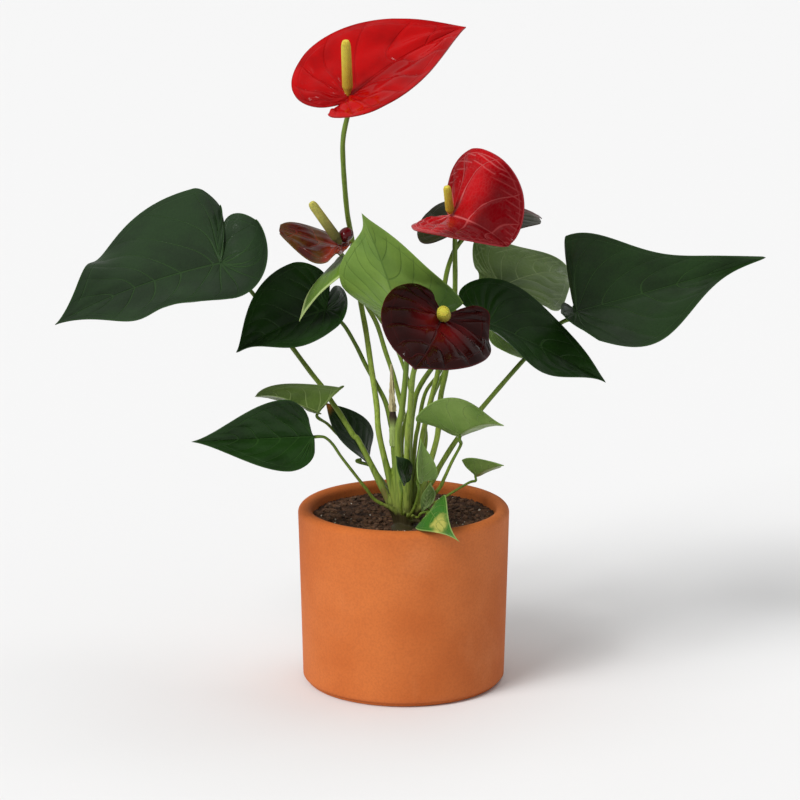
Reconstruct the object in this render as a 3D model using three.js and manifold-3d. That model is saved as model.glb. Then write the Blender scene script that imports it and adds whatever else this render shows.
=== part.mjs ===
// Potted anthurium in a terracotta pot, in millimetres, +Z up.
// The origin is the centre of the pot's flat base, on the surface it stands on.
// -Y is the side it is seen from, and +X is to the right.
// A stem and its blade are separate pieces, and so are a flower's stem, spathe and spadix.
// The lower ends of all the stems sit in leaf sheaths that grow together in one crown.

import * as THREE from 'three';
import { mergeVertices } from 'three/addons/utils/BufferGeometryUtils.js';
import Module from 'manifold-3d';

const wasm = await Module();
wasm.setup();

// Pot
const POT_HEIGHT = 119;
const RIM_RADIUS = 70; // outside, at the lip
const FOOT_RADIUS = 67.3; // outside, just above the foot
const LIP_ROUND = 4.5;
const FOOT_INSET = 2.5;
const FOOT_HEIGHT = 3;
const FLOOR = 8;
const BORE_TOP = 61; // inside radius under the lip
const BORE_BOTTOM = 58;
const POT_SIDES = 48;

// Soil, which fills the pot to a little under the lip
const SOIL_TOP = 111;
const SOIL_GAP = 0.35; // to the pot and to the crown's root
const SOIL_LUMP = 0.7;

// Crown: the root plug and the sheaths that the stems stand in
const CROWN = new THREE.Vector3(2, -20, SOIL_TOP);
const ROOT_RADIUS = 13;
const ROOT_DEPTH = 14;
const ROOT_DOME = 2.6;
const SHEATH_FLARE = 0.8; // added to the stem's radius where a sheath meets the root
const SHEATH_LIP = 0.2; // added where the stem leaves the sheath
const SEAT_GAP = 0.3; // between a stem's cut end and its sheath, and its blade

// Blades
const LEAF_THICKNESS = 0.9;
const SPATHE_THICKNESS = 1.1;
const RIB_RAKE = 0.6; // how far a side rib leans to the tip, per unit of width
const MARGIN_BREAKS = [0, 0.2, 0.5, 1]; // sinus, ear, widest place, tip
const BACK = [0.5, 0.5]; // how most margins leave the notch
const LEAN = [0.05, 0.05];
const MIDRIB_STEPS = 40;
const STEM_SIDES = 6;
const STEM_STEP = 11; // between cross-sections, at most

// Colour, roughness
const TERRACOTTA = { color: 0xc46c3a, roughness: 0.85 };
const SOIL = { color: 0x33241b, roughness: 1 };
const CROWN_GREEN = { color: 0x8fa35c, roughness: 0.6 };
const STEM_GREEN = { color: 0x76914f, roughness: 0.55 };
const STEM_PALE = { color: 0xa9b27a, roughness: 0.55 };
const LEAF_DARK = { color: 0x1f4426, roughness: 0.4 };
const LEAF_OLIVE = { color: 0x566a48, roughness: 0.5 };
const LEAF_YOUNG = { color: 0x6f9a48, roughness: 0.45 };
const SPATHE_RED = { color: 0xb5141a, roughness: 0.2 };
const SPATHE_BURGUNDY = { color: 0x4a1217, roughness: 0.25 };
const SPATHE_BROWN = { color: 0x5d2722, roughness: 0.35 };
const SPADIX_YELLOW = { color: 0xdcc845, roughness: 0.7 };
const SPADIX_OLIVE = { color: 0xa59b52, roughness: 0.75 };
const HUSK = { color: 0xc9b690, roughness: 0.9 };

// A blade runs from its base, where the stem joins, to its tip. Turned by roll about that
// line, it has two halves, [left, right] as seen from the base with the upper face up.
// Of its length: half widths, ears behind the base, the widest place, the notch, the
// margin's wave. In degrees: droop and bend along the midrib, twist to the tip, fold at
// the midrib, curl to the margin, lift of the ears. Back and lean say how the margin leaves
// the notch: back along the ear, and out, which is below 0 where an ear reaches over.
const LEAVES = {
  far_left: {
    base: [-119.8, 15, 278.5], tip: [-223.2, -36.9, 248.2], roll: 4,
    half: [0.498, 0.48], ear: [0.486, 0.128], widest: 0.047, lobe: 0.621, notch: 0.011,
    shoulder: 0.76, taper: 0.595, point: 0.34, droop: 5, bend: 37, twist: 2,
    fold: [-32, 43], curl: [62, -28], lift: [117, 102], back: [0.08, -0.3], lean: [-1.34, 0.45],
    wave: [-0.033, 0.08], phase: [38, 10], waves: 2.5,
    ribs: 14, steps: 3, look: LEAF_DARK,
    stem: { radii: [1.3, 1.9], via: [[-101, 21.5, 259.1], [-73.5, 17, 221.7], [-60.5, 12, 205],
      [-53.4, 7, 197.1], [-48.4, 2, 190.2], [-41.8, -2, 181.2], [-33, -8, 168.3], [-27.9, -11, 162.3]] },
  },
  mid_left: {
    base: [-51.4, 11, 248.3], tip: [-109.6, -0.7, 222.1], roll: 5,
    half: [0.455, 0.574], ear: [0.362, 0.14], widest: 0.138, lobe: 0.325, notch: 0.011,
    shoulder: 0.567, taper: 0.155, point: 0.105, droop: 15, bend: 1, twist: 2,
    fold: [-15, 53], curl: [9, 8], lift: [98, 47], back: [0.48, 0.25], lean: [-1.25, 0.48],
    wave: [0.052, 0.006], phase: [205, 0], waves: 2,
    ribs: 12, steps: 3, drop: 0.15, look: LEAF_DARK,
    stem: { radii: [1.2, 1.8], via: [[-40.4, 10, 239.5], [-31.9, 9, 225.9], [-24.8, 6, 211.9],
      [-18.4, 2, 201.1], [-11.9, -2, 188.9], [-8.3, -5, 174.3], [-6, -6, 164.4]] },
  },
  low_left: {
    base: [-58.9, -44, 176.2], tip: [-137.1, -39.3, 171.5], roll: 74,
    half: [0.35, 0.363], ear: [0.023, -0.016], widest: 0.184, lobe: 0.415, notch: 0.017,
    shoulder: 0.313, taper: 0.275, point: 0.115, droop: 1, bend: 0, twist: 8,
    fold: [29, 27], curl: [11, 17], lift: [10, 10],
    wave: [0.009, 0.008], phase: [357, 35], waves: 2,
    ribs: 11, steps: 3, look: LEAF_DARK,
    stem: { radii: [0.9, 1.1], via: [[-53.7, -42, 175.7], [-50.1, -41, 174.5], [-45.7, -39, 169.7],
      [-40.3, -36, 160.6], [-31.3, -32, 147.4], [-24.1, -28, 136.8], [-18.2, -25, 128.5]] },
  },
  folded_left: {
    base: [-56.1, -20, 186.7], tip: [-97.9, 18.5, 188.1], roll: 20,
    half: [0.428, 0.418], ear: [0.164, 0.016], widest: -0.084, lobe: 0.458, notch: 0.03,
    shoulder: 0.417, taper: -0.011, point: 0.154, droop: 18, bend: 3, twist: -1,
    fold: [34, 28], curl: [21, -24], lift: [10, 12],
    wave: [0.013, -0.038], phase: [15, 349], waves: 2,
    ribs: 10, steps: 3, look: LEAF_OLIVE,
    stem: { radii: [0.9, 1.3], via: [[-49.8, -6, 175.2], [-44.2, 6, 166], [-38.1, 12, 159.5],
      [-31.6, 18, 152.1], [-25.4, 18.5, 146.9]] },
  },
  inner_left: {
    base: [-26.4, 7, 148.8], tip: [-51.1, 4.1, 187], roll: 10,
    half: [0.441, 0.469], ear: [0.048, 0.075], widest: 0.165, lobe: 0.389, notch: 0.032,
    shoulder: 0.457, taper: 0.163, point: 0.172, droop: 8, bend: 3, twist: -50,
    fold: [11, 12], curl: [9, 11], lift: [10, 4],
    wave: [-0.003, 0.027], phase: [348, 78], waves: 2,
    ribs: 9, steps: 3, drop: 0.5, look: LEAF_DARK,
    stem: { radii: [0.9, 1.3], via: [[-21.5, 3, 144.5], [-18.2, 0, 140.5]] },
  },
  pale_centre: {
    base: [-2.5, -40.6, 252.8], tip: [-25.9, -99.4, 331.3], roll: 13,
    half: [0.403, 0.472], ear: [0.063, 0.214], widest: 0.055, lobe: 0.401, notch: 0.03,
    shoulder: 0.416, taper: 0.323, point: 0.112, droop: 4, bend: -5, twist: -2,
    fold: [33, 14], curl: [-1, -7], lift: [14, 23],
    wave: [0.039, 0.028], phase: [154, 215], waves: 2,
    ribs: 13, steps: 3, look: LEAF_YOUNG,
    stem: { radii: [1.4, 2.4], via: [[1.5, -35.5, 234], [1.5, -33, 217.6], [-1.1, -29, 190.2],
      [-3.7, -27, 169.7]] },
  },
  narrow_left: {
    base: [-38.1, -3.3, 285.5], tip: [-67.6, -13, 245.3], roll: -3,
    half: [0.334, 0.27], ear: [0.05, 0.02], widest: 0.11, lobe: 0.38, notch: 0.03,
    shoulder: 0.431, taper: 0.297, point: 0.12, droop: 33, bend: 1, twist: -9,
    fold: [0, 1], curl: [-11, -16], lift: [10, 10],
    wave: [0.016, 0.015], phase: [299, 203], waves: 2,
    ribs: 9, steps: 3, look: LEAF_YOUNG,
    stem: { radii: [1, 1.4], via: [[-34.8, -2, 279.5], [-29.6, 0, 267.1], [-21.9, 1, 253.4],
      [-8.9, 2, 233.2], [0.2, -3, 212.2], [4.8, -7, 191.6], [-1.1, -9, 165.2]] },
  },
  mid_right: {
    base: [54.2, -6, 243.3], tip: [132.8, 4.2, 200.9], roll: -19,
    half: [0.431, 0.444], ear: [0.245, 0.264], widest: 0.11, lobe: 0.436, notch: -0.024,
    shoulder: 0.43, taper: 0.234, point: 0.136, droop: 7, bend: -2, twist: 26,
    fold: [16, 13], curl: [3, 7], lift: [5, 10],
    wave: [0.034, 0.039], phase: [136, 138], waves: 2,
    ribs: 13, steps: 3, look: LEAF_DARK,
    stem: { radii: [1.4, 2], via: [[37.9, -11, 235.3], [30.1, -15, 228.9], [18.4, -17, 215.3],
      [10, -18, 202.3], [6.7, -18, 190.9], [4.2, -18, 167.4]] },
  },
  back_right: {
    base: [65.2, 52, 255.4], tip: [115.5, 130.4, 244.8], roll: -4,
    half: [0.376, 0.381], ear: [-0.002, 0.039], widest: 0.109, lobe: 0.707, notch: 0.156,
    shoulder: 0.273, taper: 0.283, point: 0.134, droop: 45, bend: 25, twist: 54,
    fold: [18, 1], curl: [20, -23], lift: [4, -48], back: [-0.54, 0.26], lean: [0.17, 0.55],
    wave: [0.063, 0.031], phase: [135, 185], waves: 2,
    ribs: 12, steps: 3, drop: 0.2, look: LEAF_OLIVE,
    stem: { radii: [1.1, 1.6], via: [[51.1, 50, 246.9], [40.3, 44, 231.1], [30.9, 34, 209.3],
      [18.2, 20, 185.3], [14.2, 10, 171.3], [14.1, 5, 157.6]] },
  },
  far_right: {
    base: [114.2, 25, 244.1], tip: [239.9, 38.1, 277.9], roll: 5,
    half: [0.448, 0.493], ear: [0.004, 0.121], widest: 0.058, lobe: 0.259, notch: 0.015,
    shoulder: 0.377, taper: 0.367, point: 0.073, droop: -1, bend: 10, twist: 34,
    fold: [33, -9], curl: [7, 2], lift: [14, 89], back: [0.5, 0.3], lean: [0.06, -1.03],
    wave: [-0.064, -0.065], phase: [281, 6], waves: 2,
    ribs: 14, steps: 3, drop: 0.45, look: LEAF_DARK,
    stem: { radii: [1.4, 1.9], via: [[101.9, 22, 235.7], [78.9, 9, 214.9], [50.9, 2, 183.4],
      [35.5, -2, 164.5], [24, -5, 146.6], [20, -7, 138.9]] },
  },
  low_right: {
    base: [36.3, -38, 176.1], tip: [62.3, -94.1, 195.9], roll: 19,
    half: [0.366, 0.482], ear: [0.231, 0.206], widest: -0.004, lobe: 0.441, notch: 0.033,
    shoulder: 0.518, taper: 0.28, point: 0.115, droop: 24, bend: 5, twist: -35,
    fold: [26, 19], curl: [6, -14], lift: [14, 19],
    wave: [-0.012, 0.03], phase: [31, 329], waves: 2,
    ribs: 10, steps: 3, look: LEAF_YOUNG,
    stem: { radii: [0.9, 1.3], via: [[36.8, -37, 168.8], [31.2, -33, 156.5], [26.5, -29, 144.7],
      [22.4, -26, 135.8]] },
  },
  small_right: {
    base: [47.1, -10, 141.6], tip: [65, -33.7, 154.3], roll: 24,
    half: [0.412, 0.438], ear: [0.11, -0.024], widest: 0.09, lobe: 0.436, notch: 0.029,
    shoulder: 0.411, taper: 0.308, point: 0.114, droop: 23, bend: -3, twist: -7,
    fold: [22, 22], curl: [12, 3], lift: [8, 10],
    wave: [0.017, 0.014], phase: [162, 116], waves: 2,
    ribs: 8, steps: 2, look: LEAF_YOUNG,
    stem: { radii: [0.7, 0.9], via: [[42.9, -11, 136.8], [30.8, -14, 130.2], [23.9, -15, 126.1]] },
  },
  small_upright: {
    base: [12.1, -45, 146.7], tip: [11, -35.3, 172.8], roll: -48,
    half: [0.42, 0.429], ear: [0.063, -0.03], widest: 0.106, lobe: 0.443, notch: 0.03,
    shoulder: 0.439, taper: 0.309, point: 0.112, droop: 8, bend: -1, twist: -13,
    fold: [18, 15], curl: [6, 2], lift: [10, 10],
    wave: [-0, 0.006], phase: [0, 357], waves: 2,
    ribs: 8, steps: 2, look: LEAF_YOUNG,
    stem: { radii: [0.8, 1.1], via: [[9.8, -44, 140.5], [7.3, -38, 128.1], [3.5, -32, 119.9]] },
  },
  small_dark: {
    base: [1.3, -48, 147.1], tip: [-4.9, -54.3, 165.9], roll: 63,
    half: [0.405, 0.465], ear: [0.003, 0.079], widest: 0.192, lobe: 0.428, notch: 0.037,
    shoulder: 0.55, taper: 0.207, point: 0.137, droop: 17, bend: 8, twist: -21,
    fold: [8, 13], curl: [4, 1], lift: [10, 10],
    wave: [0.016, 0.013], phase: [59, 341], waves: 2,
    ribs: 7, steps: 2, look: LEAF_DARK,
    stem: { radii: [0.7, 0.9], via: [[-1.1, -46, 139.2], [-1.6, -40, 129.5], [-1.1, -34, 121.8]] },
  },
  variegated: {
    base: [17.6, -58, 130.1], tip: [35.5, -84.3, 117.3], roll: -55,
    half: [0.405, 0.408], ear: [0.046, -0.005], widest: 0.053, lobe: 0.444, notch: 0.038,
    shoulder: 0.281, taper: 0.455, point: 0.09, droop: 53, bend: 3, twist: -7,
    fold: [8, 8], curl: [-7, -5], lift: [11, 11],
    wave: [0.009, 0.012], phase: [13, 324], waves: 2,
    ribs: 8, steps: 2, look: LEAF_YOUNG,
    stem: { radii: [0.8, 1], via: [[15.7, -52, 127.4], [14.4, -47, 122.7], [13.8, -43, 118.2]] },
  },
  small_grey: {
    base: [14.6, -40, 127.6], tip: [17.8, -27.6, 141.6], roll: 49,
    half: [0.401, 0.455], ear: [0.062, 0.04], widest: 0.162, lobe: 0.437, notch: 0.03,
    shoulder: 0.494, taper: 0.276, point: 0.119, droop: 13, bend: 1, twist: 27,
    fold: [2, 4], curl: [-15, -9], lift: [10, 11],
    wave: [0.015, 0.013], phase: [306, 135], waves: 2,
    ribs: 7, steps: 2, drop: 0.2, look: LEAF_OLIVE,
    stem: { radii: [0.7, 0.9], via: [[11.4, -38, 123.4], [9.4, -35.6, 120]] },
  },
  under_right: {
    base: [57.5, 36, 230], tip: [97.6, 64.5, 208.1], roll: -39,
    half: [0.419, 0.442], ear: [0.066, 0.067], widest: 0.138, lobe: 0.457, notch: 0.037,
    shoulder: 0.466, taper: 0.335, point: 0.108, droop: 26, bend: 3, twist: 12,
    fold: [11, 6], curl: [0, 1], lift: [8, 8],
    wave: [0.01, 0.022], phase: [330, 116], waves: 2,
    ribs: 9, steps: 2, look: LEAF_YOUNG,
    stem: { radii: [1, 1.5], via: [[36.1, 28, 220.9], [22.7, 17, 203], [14.1, 8, 192.2],
      [9.5, 2, 171.3], [7.5, -1, 159.8]] },
  },};

const FLOWERS = {
  top: {
    base: [-35, -12, 391.2], tip: [40.3, 27, 431.4], roll: -10,
    half: [0.535, 0.514], ear: [0.253, 0.258], widest: 0.12, lobe: 0.372, notch: 0.072,
    shoulder: 0.439, taper: 0.144, point: 0.14, droop: 18, bend: -6, twist: 11,
    fold: [21, 17], curl: [-3, -17], lift: [18, 20],
    wave: [-0.001, -0], phase: [0, 0], waves: 2,
    ribs: 14, steps: 3, look: SPATHE_RED,
    stem: { radii: [1.6, 2], via: [[-38.4, -10, 367.2], [-39, -3, 348.8], [-37, 15, 313.7],
      [-33.9, 25, 292], [-28.3, 21, 251.8], [-24.8, 12, 234], [-21.2, 2, 211.4],
      [-17.6, -9, 188.4], [-15.4, -18, 168.1]] },
  },
  right: {
    base: [30.9, -22, 316.3], tip: [64.8, -79.1, 307.1], roll: -31,
    half: [0.69, 0.444], ear: [0.254, 0.263], widest: 0.136, lobe: 0.52, notch: 0.065,
    shoulder: 0.686, taper: -0.074, point: 0.192, droop: 17, bend: -10, twist: -17,
    fold: [28, 11], curl: [21, 10], lift: [14, -2],
    wave: [-0.009, -0.013], phase: [0, 0], waves: 2,
    ribs: 14, steps: 3, look: SPATHE_RED,
    stem: { radii: [1.6, 2], via: [[32.9, -19, 298.1], [33.3, -6, 264.7], [31.6, -1, 237.2],
      [27.7, -3, 210.2], [24.2, -8, 193.9], [22.8, -14, 175.2], [19.8, -18, 160.7]] },
  },
  front: {
    base: [24.3, -76.5, 260.5], tip: [6.5, -132.7, 240.4], roll: 60,
    half: [0.554, 0.618], ear: [0.377, 0.257], widest: 0.24, lobe: 0.582, notch: 0.062,
    shoulder: 0.672, taper: 0.159, point: 0.176, droop: 9, bend: -10, twist: 24,
    fold: [26, -19], curl: [1, -9], lift: [52, 10], back: [0.53, 0.95], lean: [0.21, 0.45],
    wave: [0.03, 0.02], phase: [72, 19], waves: 2,
    ribs: 14, steps: 3, look: SPATHE_BURGUNDY,
    stem: { radii: [1.7, 2.1], via: [[15.3, -65, 240.6], [6.5, -53, 221.5], [4.1, -41, 191.7],
      [2.5, -35, 171.7]] },
  },
  young: {
    base: [-41.2, 9, 290.5], tip: [-80.5, 5.6, 302.8], roll: 8,
    half: [0.564, 0.423], ear: [0.06, 0.138], widest: 0.108, lobe: 0.574, notch: 0.109,
    shoulder: 0.371, taper: -0.17, point: 0.213, droop: -12, bend: 24, twist: -40,
    fold: [3, 8], curl: [-16, -22], lift: [-25, 32], back: [0.72, 0.64], lean: [0.12, 0.16],
    wave: [-0.059, 0.023], phase: [28, 147], waves: 2,
    ribs: 11, steps: 3, look: SPATHE_BROWN,
    stem: { radii: [1.4, 1.7], via: [[-39, 13, 282.3], [-32.6, 14.5, 268], [-24, 13, 250.4],
      [-17.6, 12, 238.3], [-12, 9, 220.8], [-7, 6, 206.1], [-1.3, 2, 185.1], [1.6, 0, 173.1],
      [2.2, 0, 162.9]] },
  },
  back: {
    base: [46.4, 14, 305.6], tip: [93, 75, 297.6], roll: -2,
    half: [0.487, 0.474], ear: [0.421, 0.35], widest: 0.116, lobe: 0.449, notch: 0.028,
    shoulder: 0.436, taper: 0.346, point: 0.099, droop: 40, bend: 1, twist: 16,
    fold: [2, 4], curl: [-3, -7], lift: [-12, 10],
    wave: [0.019, 0.013], phase: [117, 122], waves: 2,
    ribs: 12, steps: 3, look: SPATHE_BROWN,
    stem: { radii: [1.5, 1.9], via: [[38, 10, 294.8], [31.6, 10, 284.2], [27, 9, 266.4],
      [25.1, 6, 235.7], [22.5, 0, 209.5], [17.1, -5, 187.8], [12, -9, 165.2]] },
  },};

// The spadix stands on the base of its spathe, on a short neck, and points along aim.
const SPADICES = {
  top: { aim: [-0.03, -0.26, 0.96], length: 38, radius: 3.4, rings: 19, sides: 12, look: SPADIX_YELLOW },
  right: { aim: [-0.12, -0.36, 0.93], length: 21, radius: 2.8, rings: 13, sides: 10, look: SPADIX_YELLOW },
  front: { aim: [-0.05, -0.93, 0.385], length: 17, radius: 4.3, rings: 12, sides: 12, look: SPADIX_YELLOW },
  young: { aim: [-0.56, -0.12, 0.82], length: 35, radius: 3.3, rings: 17, sides: 10, look: SPADIX_OLIVE },
  back: { aim: [-0.15, -0.2, 0.97], length: 17, radius: 2.2, rings: 9, sides: 8, look: SPADIX_OLIVE },
};
const SPADIX_NECK = 1.3; // radius of the neck
const SPADIX_RISE = 0.2; // clearance to a spathe that is hollow at its base
const SPADIX_RELIEF = 0.07; // of the radius

// The stub of an old stem, with its dry sheath on top
const OLD_STALK = {
  radii: [2.1, 3.1],
  via: [[-7.1, -16.5, 186], [-6.7, -17.5, 178], [-6, -19, 164]],
};
const HUSK_SHAPE = {
  radii: [0.8, 2.5],
  via: [[-8, -15, 217.5], [-7.7, -15.4, 203], [-7.15, -16.45, 186.4]],
};

const { clamp, degToRad: radians } = THREE.MathUtils;
const vector = (xyz) => new THREE.Vector3(...xyz);
const material = ({ color, roughness }) => (
  new THREE.MeshStandardMaterial({ color, roughness, metalness: 0 })
);

function toManifold(geometry) {
  const bare = geometry.clone();
  bare.deleteAttribute('normal');
  bare.deleteAttribute('uv');
  const merged = mergeVertices(bare, 1e-3);
  return new wasm.Manifold(new wasm.Mesh({
    numProp: 3,
    vertProperties: new Float32Array(merged.getAttribute('position').array),
    triVerts: new Uint32Array(merged.getIndex().array),
  }));
}

function fromManifold(solid) {
  const mesh = solid.getMesh();
  const geometry = new THREE.BufferGeometry();
  geometry.setAttribute('position', new THREE.BufferAttribute(mesh.vertProperties, 3));
  geometry.setIndex(new THREE.BufferAttribute(mesh.triVerts, 1));
  return geometry;
}

// LatheGeometry turns about Y, so its result is stood up on Z.
function turned(profile, sides) {
  const points = profile.map(([r, z]) => new THREE.Vector2(r, z));
  return new THREE.LatheGeometry(points, sides).rotateX(Math.PI / 2);
}

// ---- Blades

function marginPoint(b, side, s) {
  const [w, e] = [b.half[side], b.ear[side]];
  const [back, lean] = [(b.back ?? BACK)[side], (b.lean ?? LEAN)[side]];
  const ear = new THREE.Vector2(-e, b.lobe * w);
  const slope = (0.3 * e * (back - 0.5)) / (b.lobe * w * (0.45 + 0.2 * back));
  const wide = new THREE.Vector2(b.widest, w);
  const arcs = [
    [
      new THREE.Vector2(-b.notch, 0),
      new THREE.Vector2(-b.notch - back * (e - b.notch), lean * w),
      new THREE.Vector2(-e * (0.85 + 0.3 * back), b.lobe * w * (0.55 - 0.2 * back)), ear,
    ],
    [
      ear, new THREE.Vector2(-e + 0.5 * slope * (1 - b.lobe) * w, 0.5 * (1 + b.lobe) * w),
      new THREE.Vector2(0.5 * (b.widest - e), w), wide,
    ],
    [
      wide, new THREE.Vector2(b.widest + b.shoulder * (1 - b.widest), w),
      new THREE.Vector2(1 - b.taper * (1 - b.widest), b.point * w), new THREE.Vector2(1, 0),
    ],
  ];
  let k = 0;
  while (k < 2 && s > MARGIN_BREAKS[k + 1]) k += 1;
  const t = (s - MARGIN_BREAKS[k]) / (MARGIN_BREAKS[k + 1] - MARGIN_BREAKS[k]);
  return new THREE.CubicBezierCurve(...arcs[k]).getPoint(t);
}

// The midrib of unit length in its own frame: x along, y to the left, z up.
function midribOf(b) {
  const heading = (u) => {
    const [down, aside] = [radians(b.droop) * u, radians(b.bend) * u];
    return new THREE.Vector3(
      Math.cos(down) * Math.cos(aside), Math.sin(aside), -Math.sin(down) * Math.cos(aside),
    );
  };
  const points = [new THREE.Vector3()];
  for (let i = 0; i < MIDRIB_STEPS; i += 1) {
    const step = heading((i + 0.5) / MIDRIB_STEPS).multiplyScalar(1 / MIDRIB_STEPS);
    points.push(points[i].clone().add(step));
  }
  const at = (u) => {
    const x = clamp(u, 0, 1) * MIDRIB_STEPS;
    const i = Math.min(Math.floor(x), MIDRIB_STEPS - 1);
    return points[i].clone().lerp(points[i + 1], x - i);
  };
  return { at, heading, chord: points[MIDRIB_STEPS] };
}

// Places that unit blade so that its midrib runs from base to tip.
function placementOf(b, midrib) {
  const [base, tip] = [vector(b.base), vector(b.tip)];
  const along = tip.clone().sub(base);
  const reach = along.length();
  along.normalize();
  const square = (up, axis) => up.addScaledVector(axis, -up.dot(axis)).normalize();
  const up = square(new THREE.Vector3(0, 0, 1), along).applyAxisAngle(along, radians(-b.roll));
  const chord = midrib.chord.clone().normalize();
  const ownUp = square(new THREE.Vector3(0, 0, 1), chord);
  const world = new THREE.Matrix4().makeBasis(along, up.clone().cross(along), up);
  const own = new THREE.Matrix4().makeBasis(chord, ownUp.clone().cross(chord), ownUp);
  const turn = world.multiply(own.transpose());
  const size = reach / midrib.chord.length();
  return {
    place: (p) => p.applyMatrix4(turn).multiplyScalar(size).add(base),
  };
}

// A point of the middle surface, for s along the margin and t from the midrib to it.
function surfacePoint(b, midrib, placement, side, s, t, foot) {
  const margin = marginPoint(b, side, s);
  const u = foot + t * (margin.x - foot);
  const v = t * margin.y;
  const w = b.half[side];
  const along = clamp(u, 0, 1);
  const tangent = midrib.heading(along);
  const aside = radians(b.bend) * along;
  const flat = new THREE.Vector3(-Math.sin(aside), Math.cos(aside), 0);
  const out = flat.clone().applyAxisAngle(tangent, radians(b.twist) * along);
  const up = tangent.clone().cross(out);
  const point = midrib.at(u);
  if (u < 0) {
    const rate = radians(b.lift[side] || 1) / Math.max(b.ear[side], 0.02);
    point.addScaledVector(tangent, -Math.sin(rate * -u) / rate);
    point.addScaledVector(up, (1 - Math.cos(rate * -u)) / rate);
  }
  const fold = radians(b.fold[side]);
  const curl = radians(b.curl[side] || 0.01);
  const reach = (w * (Math.sin(fold + (curl * v) / w) - Math.sin(fold))) / curl;
  const rise = (w * (Math.cos(fold) - Math.cos(fold + (curl * v) / w))) / curl;
  const turns = 2 * Math.PI * b.waves * s + radians(b.phase[side]);
  const wave = b.wave[side] * Math.sin(turns) * t * t * Math.sqrt(Math.sin(Math.PI * s));
  point.addScaledVector(out, side === 0 ? reach : -reach);
  return placement.place(point.addScaledVector(up, rise + wave));
}

// The middle surface of a blade as a mesh, with its normals and the one at the base.
function surfaceOf(b) {
  const midrib = midribOf(b);
  const placement = placementOf(b, midrib);
  const points = [];
  const known = new Map();
  const vertex = (p) => {
    const key = p.toArray().map((x) => Math.round(x * 500)).join();
    if (!known.has(key)) known.set(key, points.push(p) - 1);
    return known.get(key);
  };
  const faces = [];
  for (const side of [0, 1]) {
    const rows = [];
    for (let j = 0; j <= b.ribs; j += 1) {
      const s = j / b.ribs;
      const margins = [marginPoint(b, 0, s), marginPoint(b, 1, s)];
      const feet = margins.map((m) => Math.max(0, m.x - RIB_RAKE * Math.abs(m.y)));
      const at = (k, t) => (
        surfacePoint(b, midrib, placement, k, s, t, (feet[0] + feet[1]) / 2)
      );
      rows.push(Array.from({ length: b.steps + 1 }, (_, k) => {
        const t = k / b.steps;
        return vertex(j === 0 ? at(0, t).lerp(at(1, t), 0.5) : at(side, t));
      }));
    }
    for (let j = 0; j < b.ribs; j += 1) {
      for (let k = 0; k < b.steps; k += 1) {
        const [p, q, r, o] = [rows[j][k], rows[j][k + 1], rows[j + 1][k + 1], rows[j + 1][k]];
        for (const f of [[p, r, q], [p, o, r]]) {
          if (new Set(f).size === 3) faces.push(side === 0 ? f : [f[0], f[2], f[1]]);
        }
      }
    }
  }
  const normals = points.map(() => new THREE.Vector3());
  for (const f of faces) {
    const [p, q, r] = f.map((n) => points[n]);
    const normal = q.clone().sub(p).cross(r.clone().sub(p));
    for (const n of f) normals[n].add(normal);
  }
  for (const normal of normals) normal.normalize();
  return { points, faces, normals, up: normals[vertex(vector(b.base))] };
}

// A sheet of even thickness: both faces and the rim come from the one middle surface.
function sheet({ points, faces, normals }, thickness) {
  const edges = new Map();
  for (const [i, j, k] of faces) {
    for (const [m, n] of [[i, j], [j, k], [k, i]]) edges.set(`${m},${n}`, [m, n]);
  }
  const count = points.length;
  const face = (way) => points.map((p, n) => (
    p.clone().addScaledVector(normals[n], (way * thickness) / 2)
  ));
  const index = faces.flatMap(([i, j, k]) => [i, j, k, i + count, k + count, j + count]);
  for (const [m, n] of edges.values()) {
    if (!edges.has(`${n},${m}`)) index.push(n, m, m + count, n, m + count, n + count);
  }
  const geometry = new THREE.BufferGeometry().setFromPoints([...face(1), ...face(-1)]);
  geometry.setIndex(index);
  return geometry;
}

// ---- Stems and sheaths

// One part of a route, from one parameter of it to another.
class Stretch extends THREE.Curve {
  constructor(route, from, to) {
    super();
    Object.assign(this, { route, from, to });
  }

  getPoint(t) {
    return this.route.getPoint(THREE.MathUtils.lerp(this.from, this.to, t));
  }
}

// A tapering round rod along a curve, with flat ends.
function rod(curve, radii) {
  const steps = Math.max(2, Math.ceil(curve.getLength() / STEM_STEP));
  const corners = Array.from({ length: STEM_SIDES }, (_, k) => {
    const a = (2 * Math.PI * k) / STEM_SIDES;
    return new THREE.Vector2(Math.cos(a), Math.sin(a));
  });
  const geometry = new THREE.ExtrudeGeometry(new THREE.Shape(corners), {
    steps, bevelEnabled: false, extrudePath: curve,
  });
  const centres = curve.getSpacedPoints(steps);
  const position = geometry.getAttribute('position');
  const p = new THREE.Vector3();
  for (let n = 0; n < position.count; n += 1) {
    p.fromBufferAttribute(position, n);
    const spans = centres.map((c) => c.distanceToSquared(p));
    const k = spans.indexOf(Math.min(...spans));
    const radius = THREE.MathUtils.lerp(radii[0], radii[1], k / steps);
    p.sub(centres[k]).multiplyScalar(radius).add(centres[k]);
    position.setXYZ(n, p.x, p.y, p.z);
  }
  return geometry;
}

const smooth = (points) => new THREE.CatmullRomCurve3(points, false, 'catmullrom', 0.5);

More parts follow.
